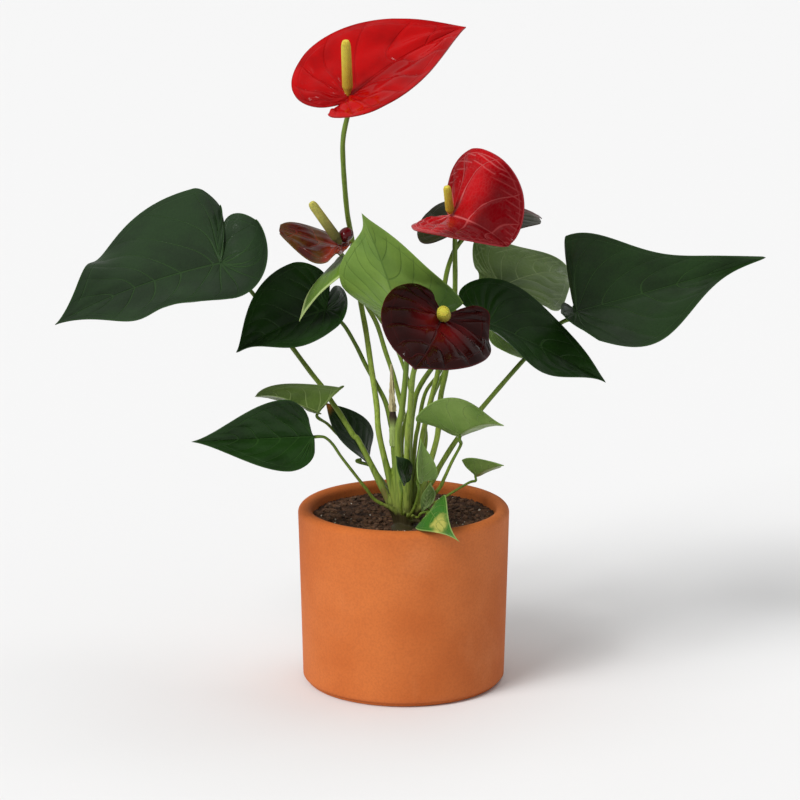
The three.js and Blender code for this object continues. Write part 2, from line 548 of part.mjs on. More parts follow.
// A stem leaves the crown out of a sheath, which goes on along the stem's way into the root.
function stemAndSheath(start, { radii, via }) {
  const points = [...start, ...via.map(vector)];
  const foot = points[points.length - 1];
  const away = new THREE.Vector3(foot.x - CROWN.x, foot.y - CROWN.y, 0);
  const span = away.length();
  away.normalize();
  const at = (reach, z) => CROWN.clone().addScaledVector(away, reach).setZ(z);
  const neck = at(Math.min(0.32 * span, 9), Math.min(SOIL_TOP + 8, foot.z - 3));
  const root = at(Math.min(0.2 * span, 7), SOIL_TOP - 0.6 * ROOT_DEPTH);
  const route = smooth([...points, neck, root]);
  const seat = (points.length - 1) / (points.length + 1);
  const rate = route.getPoint(seat).distanceTo(route.getPoint(seat + 0.001)) / 0.001;
  return {
    stem: rod(new Stretch(route, 0, seat), radii),
    sheath: rod(
      new Stretch(route, seat + SEAT_GAP / rate, 1),
      [radii[1] + SHEATH_LIP, radii[1] + SHEATH_FLARE],
    ),
  };
}

// A stem meets the underside of its blade square on.
function startUnder(b, up, thickness) {
  return [0, 4].map((d) => (
    vector(b.base).addScaledVector(up, -(thickness / 2 + SEAT_GAP + (b.drop ?? 0) + d))
  ));
}

// ---- Spadix

function spadixGeometry(b, up, shape) {
  const aim = vector(shape.aim).normalize();
  const tilt = SPADIX_NECK * aim.clone().cross(up).length();
  const foot = vector(b.base).addScaledVector(
    up, SPATHE_THICKNESS / 2 + SEAT_GAP + SPADIX_RISE + tilt,
  );
  const profile = [[0, 0]];
  for (let k = 0; k <= shape.rings; k += 1) {
    const h = k / shape.rings;
    const neck = clamp(0.35 + 4 * h, 0, 1);
    const dome = Math.sqrt(Math.max(0, 1 - Math.max(0, (h - 0.86) / 0.15) ** 2));
    const body = shape.radius * neck * (1 - 0.14 * h) * dome;
    profile.push([Math.max(body, k === 0 ? SPADIX_NECK : 0.2), shape.length * h]);
  }
  profile.push([0, shape.length]);
  const geometry = turned(profile, shape.sides);
  // Florets: every other corner of the net stands proud, and the next ring is the other way.
  const position = geometry.getAttribute('position');
  for (let n = 0; n < position.count; n += 1) {
    const [x, y, z] = [position.getX(n), position.getY(n), position.getZ(n)];
    const column = Math.round((Math.atan2(x, -y) * shape.sides) / (2 * Math.PI));
    const row = Math.round((z * shape.rings) / shape.length);
    const inside = row > 1 && row < shape.rings;
    const swell = 1 + (inside ? SPADIX_RELIEF * Math.cos(Math.PI * (column + row)) : 0);
    position.setXYZ(n, x * swell, y * swell, z);
  }
  const upright = new THREE.Vector3(0, 0, 1);
  const turn = new THREE.Quaternion().setFromUnitVectors(upright, aim);
  return geometry.applyQuaternion(turn).translate(foot.x, foot.y, foot.z);
}

// ---- Pot, soil, crown

function potGeometry() {
  const wall = (z) => THREE.MathUtils.mapLinear(
    z, FOOT_HEIGHT, POT_HEIGHT - LIP_ROUND, FOOT_RADIUS, RIM_RADIUS,
  );
  const lip = Array.from({ length: 7 }, (_, k) => {
    const a = (Math.PI * k) / 6;
    const middle = (RIM_RADIUS + BORE_TOP) / 2;
    const half = (RIM_RADIUS - BORE_TOP) / 2;
    return [middle + half * Math.cos(a), POT_HEIGHT - LIP_ROUND + LIP_ROUND * Math.sin(a)];
  });
  return turned([
    [0, 0], [FOOT_RADIUS - FOOT_INSET - 1, 0], [FOOT_RADIUS - FOOT_INSET, 1],
    [FOOT_RADIUS - FOOT_INSET, FOOT_HEIGHT], [FOOT_RADIUS - 0.8, FOOT_HEIGHT],
    [FOOT_RADIUS, FOOT_HEIGHT + 1], [wall(POT_HEIGHT / 2), POT_HEIGHT / 2],
    ...lip, [BORE_BOTTOM, FLOOR + 3], [BORE_BOTTOM - 3, FLOOR], [0, FLOOR],
  ], POT_SIDES);
}

const bore = (z) => THREE.MathUtils.mapLinear(
  z, FLOOR + 3, POT_HEIGHT - LIP_ROUND, BORE_BOTTOM, BORE_TOP,
);

function soilGeometry() {
  const [low, edge] = [FLOOR + SOIL_GAP, bore(SOIL_TOP) - SOIL_GAP];
  const geometry = turned([
    [0, low], [BORE_BOTTOM - 3.6, low], [BORE_BOTTOM - SOIL_GAP, FLOOR + 3.4],
    [edge, SOIL_TOP - 1.2], [0.95 * edge, SOIL_TOP],
    [0.76 * edge, SOIL_TOP], [0.56 * edge, SOIL_TOP], [0.36 * edge, SOIL_TOP], [0, SOIL_TOP],
  ], POT_SIDES);
  const position = geometry.getAttribute('position');
  for (let n = 0; n < position.count; n += 1) {
    const [x, y, z] = [position.getX(n), position.getY(n), position.getZ(n)];
    if (z > SOIL_TOP - 0.01) {
      const lump = Math.sin(0.37 * x + 1.1) * Math.sin(0.43 * y + 0.4) + 0.5 * Math.sin(0.9 * x - 0.7 * y);
      position.setZ(n, z + (SOIL_LUMP * lump) / 1.5);
    }
  }
  const room = ROOT_RADIUS + SOIL_GAP;
  const hole = turned([
    [0, 0], [room, 0], [room, 2 * ROOT_DEPTH], [0, 2 * ROOT_DEPTH],
  ], 24).translate(CROWN.x, CROWN.y, SOIL_TOP - ROOT_DEPTH - SOIL_GAP);
  return fromManifold(toManifold(geometry).subtract(toManifold(hole)));
}

function rootGeometry() {
  return turned([
    [0, 0], [0.8 * ROOT_RADIUS, 0], [ROOT_RADIUS, 0.4 * ROOT_DEPTH], [ROOT_RADIUS, ROOT_DEPTH],
    [0.7 * ROOT_RADIUS, ROOT_DEPTH + 0.7 * ROOT_DOME], [0, ROOT_DEPTH + ROOT_DOME],
  ], 24).translate(CROWN.x, CROWN.y, SOIL_TOP - ROOT_DEPTH);
}

// ---- The plant

const plant = new THREE.Group();
const add = (name, geometry, look) => {
  const mesh = new THREE.Mesh(geometry, material(look));
  mesh.name = name;
  plant.add(mesh);
};
let crown = toManifold(rootGeometry());
const root = (sheath) => {
  crown = crown.add(toManifold(sheath));
};

add('pot', potGeometry(), TERRACOTTA);
add('soil', soilGeometry(), SOIL);

for (const [name, leaf] of Object.entries(LEAVES)) {
  const surface = surfaceOf(leaf);
  const { stem, sheath } = stemAndSheath(startUnder(leaf, surface.up, LEAF_THICKNESS), leaf.stem);
  add(`leaf_${name}_blade`, sheet(surface, LEAF_THICKNESS), leaf.look);
  add(`leaf_${name}_stem`, stem, STEM_GREEN);
  root(sheath);
}

for (const [name, flower] of Object.entries(FLOWERS)) {
  const surface = surfaceOf(flower);
  const start = startUnder(flower, surface.up, SPATHE_THICKNESS);
  const { stem, sheath } = stemAndSheath(start, flower.stem);
  const spadix = SPADICES[name];
  add(`flower_${name}_spathe`, sheet(surface, SPATHE_THICKNESS), flower.look);
  add(`flower_${name}_spadix`, spadixGeometry(flower, surface.up, spadix), spadix.look);
  add(`flower_${name}_stem`, stem, STEM_PALE);
  root(sheath);
}

const stub = stemAndSheath([], OLD_STALK);
add('old_stalk', stub.stem, STEM_GREEN);
root(stub.sheath);
add('old_stalk_husk', rod(smooth(HUSK_SHAPE.via.map(vector)), HUSK_SHAPE.radii), HUSK);
add('crown', fromManifold(crown), CROWN_GREEN);

export default plant;
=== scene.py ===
"""A potted anthurium: clay pot, potting soil, crown, heart-shaped leaves and waxy flowers.

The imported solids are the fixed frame. Each fine piece follows the same shapes as its solid and
stands in for it. Blender's lengths are metres, and the tables of sizes are in millimetres.
"""

from __future__ import annotations

import logging
import math
from collections.abc import Callable, Iterator
from contextlib import contextmanager
from dataclasses import dataclass, field
from enum import Enum

import bpy
import numpy as np
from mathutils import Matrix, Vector


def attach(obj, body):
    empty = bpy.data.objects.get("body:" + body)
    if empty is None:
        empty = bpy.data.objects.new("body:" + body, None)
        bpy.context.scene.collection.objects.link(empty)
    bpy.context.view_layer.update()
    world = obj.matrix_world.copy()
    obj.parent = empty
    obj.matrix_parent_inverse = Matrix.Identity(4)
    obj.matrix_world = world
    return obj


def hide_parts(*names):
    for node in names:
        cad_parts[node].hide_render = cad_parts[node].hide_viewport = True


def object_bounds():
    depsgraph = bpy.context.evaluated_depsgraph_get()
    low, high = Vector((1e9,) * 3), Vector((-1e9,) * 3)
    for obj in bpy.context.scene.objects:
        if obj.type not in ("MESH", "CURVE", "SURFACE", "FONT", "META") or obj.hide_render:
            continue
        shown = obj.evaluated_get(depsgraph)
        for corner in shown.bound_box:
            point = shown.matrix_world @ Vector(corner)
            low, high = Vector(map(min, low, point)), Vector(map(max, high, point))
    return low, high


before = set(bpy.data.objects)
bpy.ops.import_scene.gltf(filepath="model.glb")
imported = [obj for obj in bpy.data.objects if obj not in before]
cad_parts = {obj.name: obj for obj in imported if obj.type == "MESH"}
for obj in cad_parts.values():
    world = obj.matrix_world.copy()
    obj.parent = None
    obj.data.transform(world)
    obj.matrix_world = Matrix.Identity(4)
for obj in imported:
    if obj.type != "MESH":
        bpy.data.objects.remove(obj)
CAD_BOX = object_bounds()

LOG = logging.getLogger("anthurium")
MM = 0.001
SEED = 7
Colour = tuple[float, float, float]
Triple = tuple[float, float, float]
Pair = tuple[float, float]
Socket = bpy.types.NodeSocket
UPRIGHT = np.array([0.0, 0.0, 1.0])


def tone(code: str) -> Colour:
    """Turn a hex colour as seen on screen into the linear colour that a shader takes.

    Args:
        code: six hex digits.

    Returns:
        Red, green and blue, each from 0 to 1.
    """
    shown = [int(code[k : k + 2], 16) / 255 for k in (0, 2, 4)]
    red, green, blue = (c / 12.92 if c <= 0.04045 else ((c + 0.055) / 1.055) ** 2.4 for c in shown)
    return red, green, blue


def unit(vector: np.ndarray) -> np.ndarray:
    """Scale vectors to length one along their last axis."""
    return vector / np.linalg.norm(vector, axis=-1, keepdims=True)


def turn_about(vector: np.ndarray, axis: np.ndarray, angle: np.ndarray | float) -> np.ndarray:
    """Turn vectors about unit axes.

    Args:
        vector: the vectors, one in each row.
        axis: the unit axes, one in each row.
        angle: radians, one value or one for each row.

    Returns:
        The turned vectors.
    """
    c, s = np.cos(angle), np.sin(angle)
    if np.ndim(angle):
        c, s = c[..., None], s[..., None]
    along = np.sum(vector * axis, axis=-1, keepdims=True)
    return vector * c + np.cross(axis, vector) * s + axis * along * (1 - c)


class Tissue(Enum):
    """The kinds of blade on the plant."""

    DARK = "dark"
    OLIVE = "olive"
    YOUNG = "young"
    PALE_UNDER = "pale_under"
    LIGHT = "light"
    VARIEGATED = "variegated"
    GREY = "grey"
    SCARLET = "scarlet"
    CRIMSON = "crimson"
    BURGUNDY = "burgundy"
    BRONZE = "bronze"
    PLUM = "plum"


@dataclass(frozen=True)
class Blade:
    """One leaf blade or spathe and the stem under it, in the same terms as the solids.

    Pairs are (left, right), seen from the base with the upper face up, except radii, which are
    the stem's at its top and at its foot. Widths, ears, the notch and the wave are shares of the
    blade's length, angles are in degrees, and places, radii and the drop of the stem's top from
    the blade are in millimetres. ribs and steps count the solid's facets.
    """

    name: str
    base: Triple
    tip: Triple
    roll: float
    half: Pair
    ear: Pair
    widest: float
    lobe: float
    notch: float
    shoulder: float
    taper: float
    point: float
    droop: float
    bend: float
    twist: float
    fold: Pair
    curl: Pair
    lift: Pair
    wave: Pair
    phase: Pair
    ribs: int
    radii: Pair
    via: tuple[Triple, ...]
    finish: Tissue
    waves: float = 2
    steps: int = 3
    drop: float = 0.0
    back: Pair = (0.5, 0.5)
    lean: Pair = (0.05, 0.05)


LEAVES = (
    Blade(
        name="far_left", base=(-119.8, 15, 278.5), tip=(-223.2, -36.9, 248.2), roll=4,
        half=(0.498, 0.48), ear=(0.486, 0.128), widest=0.047, lobe=0.621,
        notch=0.011, shoulder=0.76, taper=0.595, point=0.34,
        droop=5, bend=37, twist=2, fold=(-32, 43),
        curl=(62, -28), lift=(117, 102), back=(0.08, -0.3), lean=(-1.34, 0.45),
        wave=(-0.033, 0.08), phase=(38, 10), waves=2.5, ribs=14, radii=(1.3, 1.9), finish=Tissue.DARK,
        via=(
            (-101, 21.5, 259.1), (-73.5, 17, 221.7), (-60.5, 12, 205), (-53.4, 7, 197.1),
            (-48.4, 2, 190.2), (-41.8, -2, 181.2), (-33, -8, 168.3), (-27.9, -11, 162.3)
        ),
    ),
    Blade(
        name="mid_left", base=(-51.4, 11, 248.3), tip=(-109.6, -0.7, 222.1), roll=5,
        half=(0.455, 0.574), ear=(0.362, 0.14), widest=0.138, lobe=0.325,
        notch=0.011, shoulder=0.567, taper=0.155, point=0.105,
        droop=15, bend=1, twist=2, fold=(-15, 53),
        curl=(9, 8), lift=(98, 47), back=(0.48, 0.25), lean=(-1.25, 0.48),
        wave=(0.052, 0.006), phase=(205, 0), ribs=12, radii=(1.2, 1.8), drop=0.15, finish=Tissue.DARK,
        via=(
            (-40.4, 10, 239.5), (-31.9, 9, 225.9), (-24.8, 6, 211.9), (-18.4, 2, 201.1),
            (-11.9, -2, 188.9), (-8.3, -5, 174.3), (-6, -6, 164.4)
        ),
    ),
    Blade(
        name="low_left", base=(-58.9, -44, 176.2), tip=(-137.1, -39.3, 171.5), roll=74,
        half=(0.35, 0.363), ear=(0.023, -0.016), widest=0.184, lobe=0.415,
        notch=0.017, shoulder=0.313, taper=0.275, point=0.115,
        droop=1, bend=0, twist=8, fold=(29, 27),
        curl=(11, 17), lift=(10, 10),
        wave=(0.009, 0.008), phase=(357, 35), ribs=11, radii=(0.9, 1.1), finish=Tissue.DARK,
        via=(
            (-53.7, -42, 175.7), (-50.1, -41, 174.5), (-45.7, -39, 169.7), (-40.3, -36, 160.6),
            (-31.3, -32, 147.4), (-24.1, -28, 136.8), (-18.2, -25, 128.5)
        ),
    ),
    Blade(
        name="folded_left", base=(-56.1, -20, 186.7), tip=(-97.9, 18.5, 188.1), roll=20,
        half=(0.428, 0.418), ear=(0.164, 0.016), widest=-0.084, lobe=0.458,
        notch=0.03, shoulder=0.417, taper=-0.011, point=0.154,
        droop=18, bend=3, twist=-1, fold=(34, 28),
        curl=(21, -24), lift=(10, 12),
        wave=(0.013, -0.038), phase=(15, 349), ribs=10, radii=(0.9, 1.3), finish=Tissue.OLIVE,
        via=(
            (-49.8, -6, 175.2), (-44.2, 6, 166), (-38.1, 12, 159.5), (-31.6, 18, 152.1),
            (-25.4, 18.5, 146.9)
        ),
    ),
    Blade(
        name="inner_left", base=(-26.4, 7, 148.8), tip=(-51.1, 4.1, 187), roll=10,
        half=(0.441, 0.469), ear=(0.048, 0.075), widest=0.165, lobe=0.389,
        notch=0.032, shoulder=0.457, taper=0.163, point=0.172,
        droop=8, bend=3, twist=-50, fold=(11, 12),
        curl=(9, 11), lift=(10, 4),
        wave=(-0.003, 0.027), phase=(348, 78), ribs=9, radii=(0.9, 1.3), drop=1, finish=Tissue.DARK,
        via=((-21.5, 3, 144.5), (-18.2, 0, 140.5)),
    ),
    Blade(
        name="pale_centre", base=(-2.5, -40.6, 252.8), tip=(-25.9, -99.4, 331.3), roll=13,
        half=(0.403, 0.472), ear=(0.063, 0.214), widest=0.055, lobe=0.401,
        notch=0.03, shoulder=0.416, taper=0.323, point=0.112,
        droop=4, bend=-5, twist=-2, fold=(33, 14),
        curl=(-1, -7), lift=(14, 23),
        wave=(0.039, 0.028), phase=(154, 215), ribs=13, radii=(1.4, 2.4), finish=Tissue.PALE_UNDER,
        via=((1.5, -35.5, 234), (1.5, -33, 217.6), (-1.1, -29, 190.2), (-3.7, -27, 169.7)),
    ),
    Blade(
        name="narrow_left", base=(-38.1, -3.3, 285.5), tip=(-67.6, -13, 245.3), roll=-3,
        half=(0.334, 0.27), ear=(0.05, 0.02), widest=0.11, lobe=0.38,
        notch=0.03, shoulder=0.431, taper=0.297, point=0.12,
        droop=33, bend=1, twist=-9, fold=(0, 1),
        curl=(-11, -16), lift=(10, 10),
        wave=(0.016, 0.015), phase=(299, 203), ribs=9, radii=(1, 1.4), finish=Tissue.YOUNG,
        via=(
            (-34.8, -2, 279.5), (-29.6, 0, 267.1), (-21.9, 1, 253.4), (-8.9, 2, 233.2),
            (0.2, -3, 212.2), (4.8, -7, 191.6), (-1.1, -9, 165.2)
        ),
    ),
    Blade(
        name="mid_right", base=(54.2, -6, 243.3), tip=(132.8, 4.2, 200.9), roll=-19,
        half=(0.431, 0.444), ear=(0.245, 0.264), widest=0.11, lobe=0.436,
        notch=-0.024, shoulder=0.43, taper=0.234, point=0.136,
        droop=7, bend=-2, twist=26, fold=(16, 13),
        curl=(3, 7), lift=(5, 10),
        wave=(0.034, 0.039), phase=(136, 138), ribs=13, radii=(1.4, 2), finish=Tissue.DARK,
        via=(
            (37.9, -11, 235.3), (30.1, -15, 228.9), (18.4, -17, 215.3), (10, -18, 202.3),
            (6.7, -18, 190.9), (4.2, -18, 167.4)
        ),
    ),
    Blade(
        name="back_right", base=(65.2, 52, 255.4), tip=(115.5, 130.4, 244.8), roll=-4,
        half=(0.376, 0.381), ear=(-0.002, 0.039), widest=0.109, lobe=0.707,
        notch=0.156, shoulder=0.273, taper=0.283, point=0.134,
        droop=45, bend=25, twist=54, fold=(18, 1),
        curl=(20, -23), lift=(4, -48), back=(-0.54, 0.26), lean=(0.17, 0.55),
        wave=(0.063, 0.031), phase=(135, 185), ribs=12, radii=(1.1, 1.6), drop=0.2, finish=Tissue.GREY,
        via=(
            (51.1, 50, 246.9), (40.3, 44, 231.1), (30.9, 34, 209.3), (18.2, 20, 185.3),
            (14.2, 10, 171.3), (14.1, 5, 157.6)
        ),
    ),
    Blade(
        name="far_right", base=(114.2, 25, 244.1), tip=(239.9, 38.1, 277.9), roll=5,
        half=(0.448, 0.493), ear=(0.004, 0.121), widest=0.058, lobe=0.259,
        notch=0.015, shoulder=0.377, taper=0.367, point=0.073,
        droop=-1, bend=10, twist=34, fold=(33, -9),
        curl=(7, 2), lift=(14, 89), back=(0.5, 0.3), lean=(0.06, -1.03),
        wave=(-0.064, -0.065), phase=(281, 6), ribs=14, radii=(1.4, 1.9), drop=0.45, finish=Tissue.DARK,
        via=(
            (101.9, 22, 235.7), (78.9, 9, 214.9), (50.9, 2, 183.4), (35.5, -2, 164.5),
            (24, -5, 146.6), (20, -7, 138.9)
        ),
    ),
    Blade(
        name="low_right", base=(36.3, -38, 176.1), tip=(62.3, -94.1, 195.9), roll=19,
        half=(0.366, 0.482), ear=(0.231, 0.206), widest=-0.004, lobe=0.441,
        notch=0.033, shoulder=0.518, taper=0.28, point=0.115,
        droop=24, bend=5, twist=-35, fold=(26, 19),
        curl=(6, -14), lift=(14, 19),
        wave=(-0.012, 0.03), phase=(31, 329), ribs=10, radii=(0.9, 1.3), finish=Tissue.LIGHT,
        via=((36.8, -37, 168.8), (31.2, -33, 156.5), (26.5, -29, 144.7), (22.4, -26, 135.8)),
    ),
    Blade(
        name="small_right", base=(47.1, -10, 141.6), tip=(65, -33.7, 154.3), roll=24,
        half=(0.412, 0.438), ear=(0.11, -0.024), widest=0.09, lobe=0.436,
        notch=0.029, shoulder=0.411, taper=0.308, point=0.114,
        droop=23, bend=-3, twist=-7, fold=(22, 22),
        curl=(12, 3), lift=(8, 10),
        wave=(0.017, 0.014), phase=(162, 116), ribs=8, steps=2, radii=(0.7, 0.9), finish=Tissue.LIGHT,
        via=((42.9, -11, 136.8), (30.8, -14, 130.2), (23.9, -15, 126.1)),
    ),
    Blade(
        name="small_upright", base=(12.1, -45, 146.7), tip=(11, -35.3, 172.8), roll=-48,
        half=(0.42, 0.429), ear=(0.063, -0.03), widest=0.106, lobe=0.443,
        notch=0.03, shoulder=0.439, taper=0.309, point=0.112,
        droop=8, bend=-1, twist=-13, fold=(18, 15),
        curl=(6, 2), lift=(10, 10),
        wave=(-0, 0.006), phase=(0, 357), ribs=8, steps=2, radii=(0.8, 1.1), finish=Tissue.LIGHT,
        via=((9.8, -44, 140.5), (7.3, -38, 128.1), (3.5, -32, 119.9)),
    ),
    Blade(
        name="small_dark", base=(1.3, -48, 147.1), tip=(-4.9, -54.3, 165.9), roll=63,
        half=(0.405, 0.465), ear=(0.003, 0.079), widest=0.192, lobe=0.428,
        notch=0.037, shoulder=0.55, taper=0.207, point=0.137,
        droop=17, bend=8, twist=-21, fold=(8, 13),
        curl=(4, 1), lift=(10, 10),
        wave=(0.016, 0.013), phase=(59, 341), ribs=7, steps=2, radii=(0.7, 0.9), finish=Tissue.DARK,
        via=((-1.1, -46, 139.2), (-1.6, -40, 129.5), (-1.1, -34, 121.8)),
    ),
    Blade(
        name="variegated", base=(17.6, -58, 130.1), tip=(35.5, -84.3, 117.3), roll=-55,
        half=(0.405, 0.408), ear=(0.046, -0.005), widest=0.053, lobe=0.444,
        notch=0.038, shoulder=0.281, taper=0.455, point=0.09,
        droop=53, bend=3, twist=-7, fold=(8, 8),
        curl=(-7, -5), lift=(11, 11),
        wave=(0.009, 0.012), phase=(13, 324), ribs=8, steps=2, radii=(0.8, 1), finish=Tissue.VARIEGATED,
        via=((15.7, -52, 127.4), (14.4, -47, 122.7), (13.8, -43, 118.2)),
    ),
    Blade(
        name="small_grey", base=(14.6, -40, 127.6), tip=(17.8, -27.6, 141.6), roll=49,
        half=(0.401, 0.455), ear=(0.062, 0.04), widest=0.162, lobe=0.437,
        notch=0.03, shoulder=0.494, taper=0.276, point=0.119,
        droop=13, bend=1, twist=27, fold=(2, 4),
        curl=(-15, -9), lift=(10, 11),
        wave=(0.015, 0.013), phase=(306, 135),
        ribs=7, steps=2, radii=(0.7, 0.9), drop=0.45, finish=Tissue.GREY,
        via=((11.4, -38, 123.4), (9.4, -35.6, 120)),
    ),
    Blade(
        name="under_right", base=(57.5, 36, 230), tip=(97.6, 64.5, 208.1), roll=-39,
        half=(0.419, 0.442), ear=(0.066, 0.067), widest=0.138, lobe=0.457,
        notch=0.037, shoulder=0.466, taper=0.335, point=0.108,
        droop=26, bend=3, twist=12, fold=(11, 6),
        curl=(0, 1), lift=(8, 8),
        wave=(0.01, 0.022), phase=(330, 116), ribs=9, steps=2, radii=(1, 1.5), finish=Tissue.LIGHT,
        via=(
            (36.1, 28, 220.9), (22.7, 17, 203), (14.1, 8, 192.2), (9.5, 2, 171.3),
            (7.5, -1, 159.8)
        ),
    ),
)

FLOWERS = (
    Blade(
        name="top", base=(-35, -12, 391.2), tip=(40.3, 27, 431.4), roll=-10,
        half=(0.535, 0.514), ear=(0.253, 0.258), widest=0.12, lobe=0.372,
        notch=0.072, shoulder=0.439, taper=0.144, point=0.14,
        droop=18, bend=-6, twist=11, fold=(21, 17),
        curl=(-3, -17), lift=(18, 20),
        wave=(-0.001, -0), phase=(0, 0), ribs=14, radii=(1.6, 2), finish=Tissue.SCARLET,
        via=(
            (-38.4, -10, 367.2), (-39, -3, 348.8), (-37, 15, 313.7), (-33.9, 25, 292),
            (-28.3, 21, 251.8), (-24.8, 12, 234), (-21.2, 2, 211.4), (-17.6, -9, 188.4),
            (-15.4, -18, 168.1)
        ),
    ),
    Blade(
        name="right", base=(30.9, -22, 316.3), tip=(64.8, -79.1, 307.1), roll=-31,
        half=(0.69, 0.444), ear=(0.254, 0.263), widest=0.136, lobe=0.52,
        notch=0.065, shoulder=0.686, taper=-0.074, point=0.192,
        droop=17, bend=-10, twist=-17, fold=(28, 11),
        curl=(21, 10), lift=(14, -2),
        wave=(-0.009, -0.013), phase=(0, 0), ribs=14, radii=(1.6, 2), finish=Tissue.CRIMSON,
        via=(
            (32.9, -19, 298.1), (33.3, -6, 264.7), (31.6, -1, 237.2), (27.7, -3, 210.2),
            (24.2, -8, 193.9), (22.8, -14, 175.2), (19.8, -18, 160.7)
        ),
    ),
    Blade(
        name="front", base=(24.3, -76.5, 260.5), tip=(6.5, -132.7, 240.4), roll=60,
        half=(0.554, 0.618), ear=(0.377, 0.257), widest=0.24, lobe=0.582,
        notch=0.062, shoulder=0.672, taper=0.159, point=0.176,
        droop=9, bend=-10, twist=24, fold=(26, -19),
        curl=(1, -9), lift=(52, 10), back=(0.53, 0.95), lean=(0.21, 0.45),
        wave=(0.03, 0.02), phase=(72, 19), ribs=14, radii=(1.7, 2.1), finish=Tissue.BURGUNDY,
        via=((15.3, -65, 240.6), (6.5, -53, 221.5), (4.1, -41, 191.7), (2.5, -35, 171.7)),
    ),
    Blade(
        name="young", base=(-41.2, 9, 290.5), tip=(-80.5, 5.6, 302.8), roll=8,
        half=(0.564, 0.423), ear=(0.06, 0.138), widest=0.108, lobe=0.574,
        notch=0.109, shoulder=0.371, taper=-0.17, point=0.213,
        droop=-12, bend=24, twist=-40, fold=(3, 8),
        curl=(-16, -22), lift=(-25, 32), back=(0.72, 0.64), lean=(0.12, 0.16),
        wave=(-0.059, 0.023), phase=(28, 147), ribs=11, radii=(1.4, 1.7), finish=Tissue.BRONZE,
        via=(
            (-39, 13, 282.3), (-32.6, 14.5, 268), (-24, 13, 250.4), (-17.6, 12, 238.3),
            (-12, 9, 220.8), (-7, 6, 206.1), (-1.3, 2, 185.1), (1.6, 0, 173.1), (2.2, 0, 162.9)
        ),
    ),
    Blade(
        name="back", base=(46.4, 14, 305.6), tip=(93, 75, 297.6), roll=-2,
        half=(0.487, 0.474), ear=(0.421, 0.35), widest=0.116, lobe=0.449,
        notch=0.028, shoulder=0.436, taper=0.346, point=0.099,
        droop=40, bend=1, twist=16, fold=(2, 4),
        curl=(-3, -7), lift=(-12, 10),
        wave=(0.019, 0.013), phase=(117, 122), ribs=12, radii=(1.5, 1.9), finish=Tissue.PLUM,
        via=(
            (38, 10, 294.8), (31.6, 10, 284.2), (27, 9, 266.4), (25.1, 6, 235.7),
            (22.5, 0, 209.5), (17.1, -5, 187.8), (12, -9, 165.2)
        ),
    ),
)


@dataclass(frozen=True)
class Spadix:
    """The finger in a flower: its axis, length and greatest radius in millimetres, its colours."""

    aim: Triple
    length: float
    radius: float
    ripe: bool
    foot: str = "cfae34"
    tip: str = "dccb4a"


SPADICES = {
    "top": Spadix((-0.03, -0.26, 0.96), 38, 3.4, True),
    "right": Spadix((-0.12, -0.36, 0.93), 21, 2.8, True),
    "front": Spadix((-0.05, -0.93, 0.385), 17, 4.3, True, "8f8c2a", "c3bb3e"),
    "young": Spadix((-0.56, -0.12, 0.82), 35, 3.3, False, "6f6a35", "cfc765"),
    "back": Spadix((-0.15, -0.2, 0.97), 17, 2.2, False, "6f6a35", "cfc765"),
}


# ---- Shaders


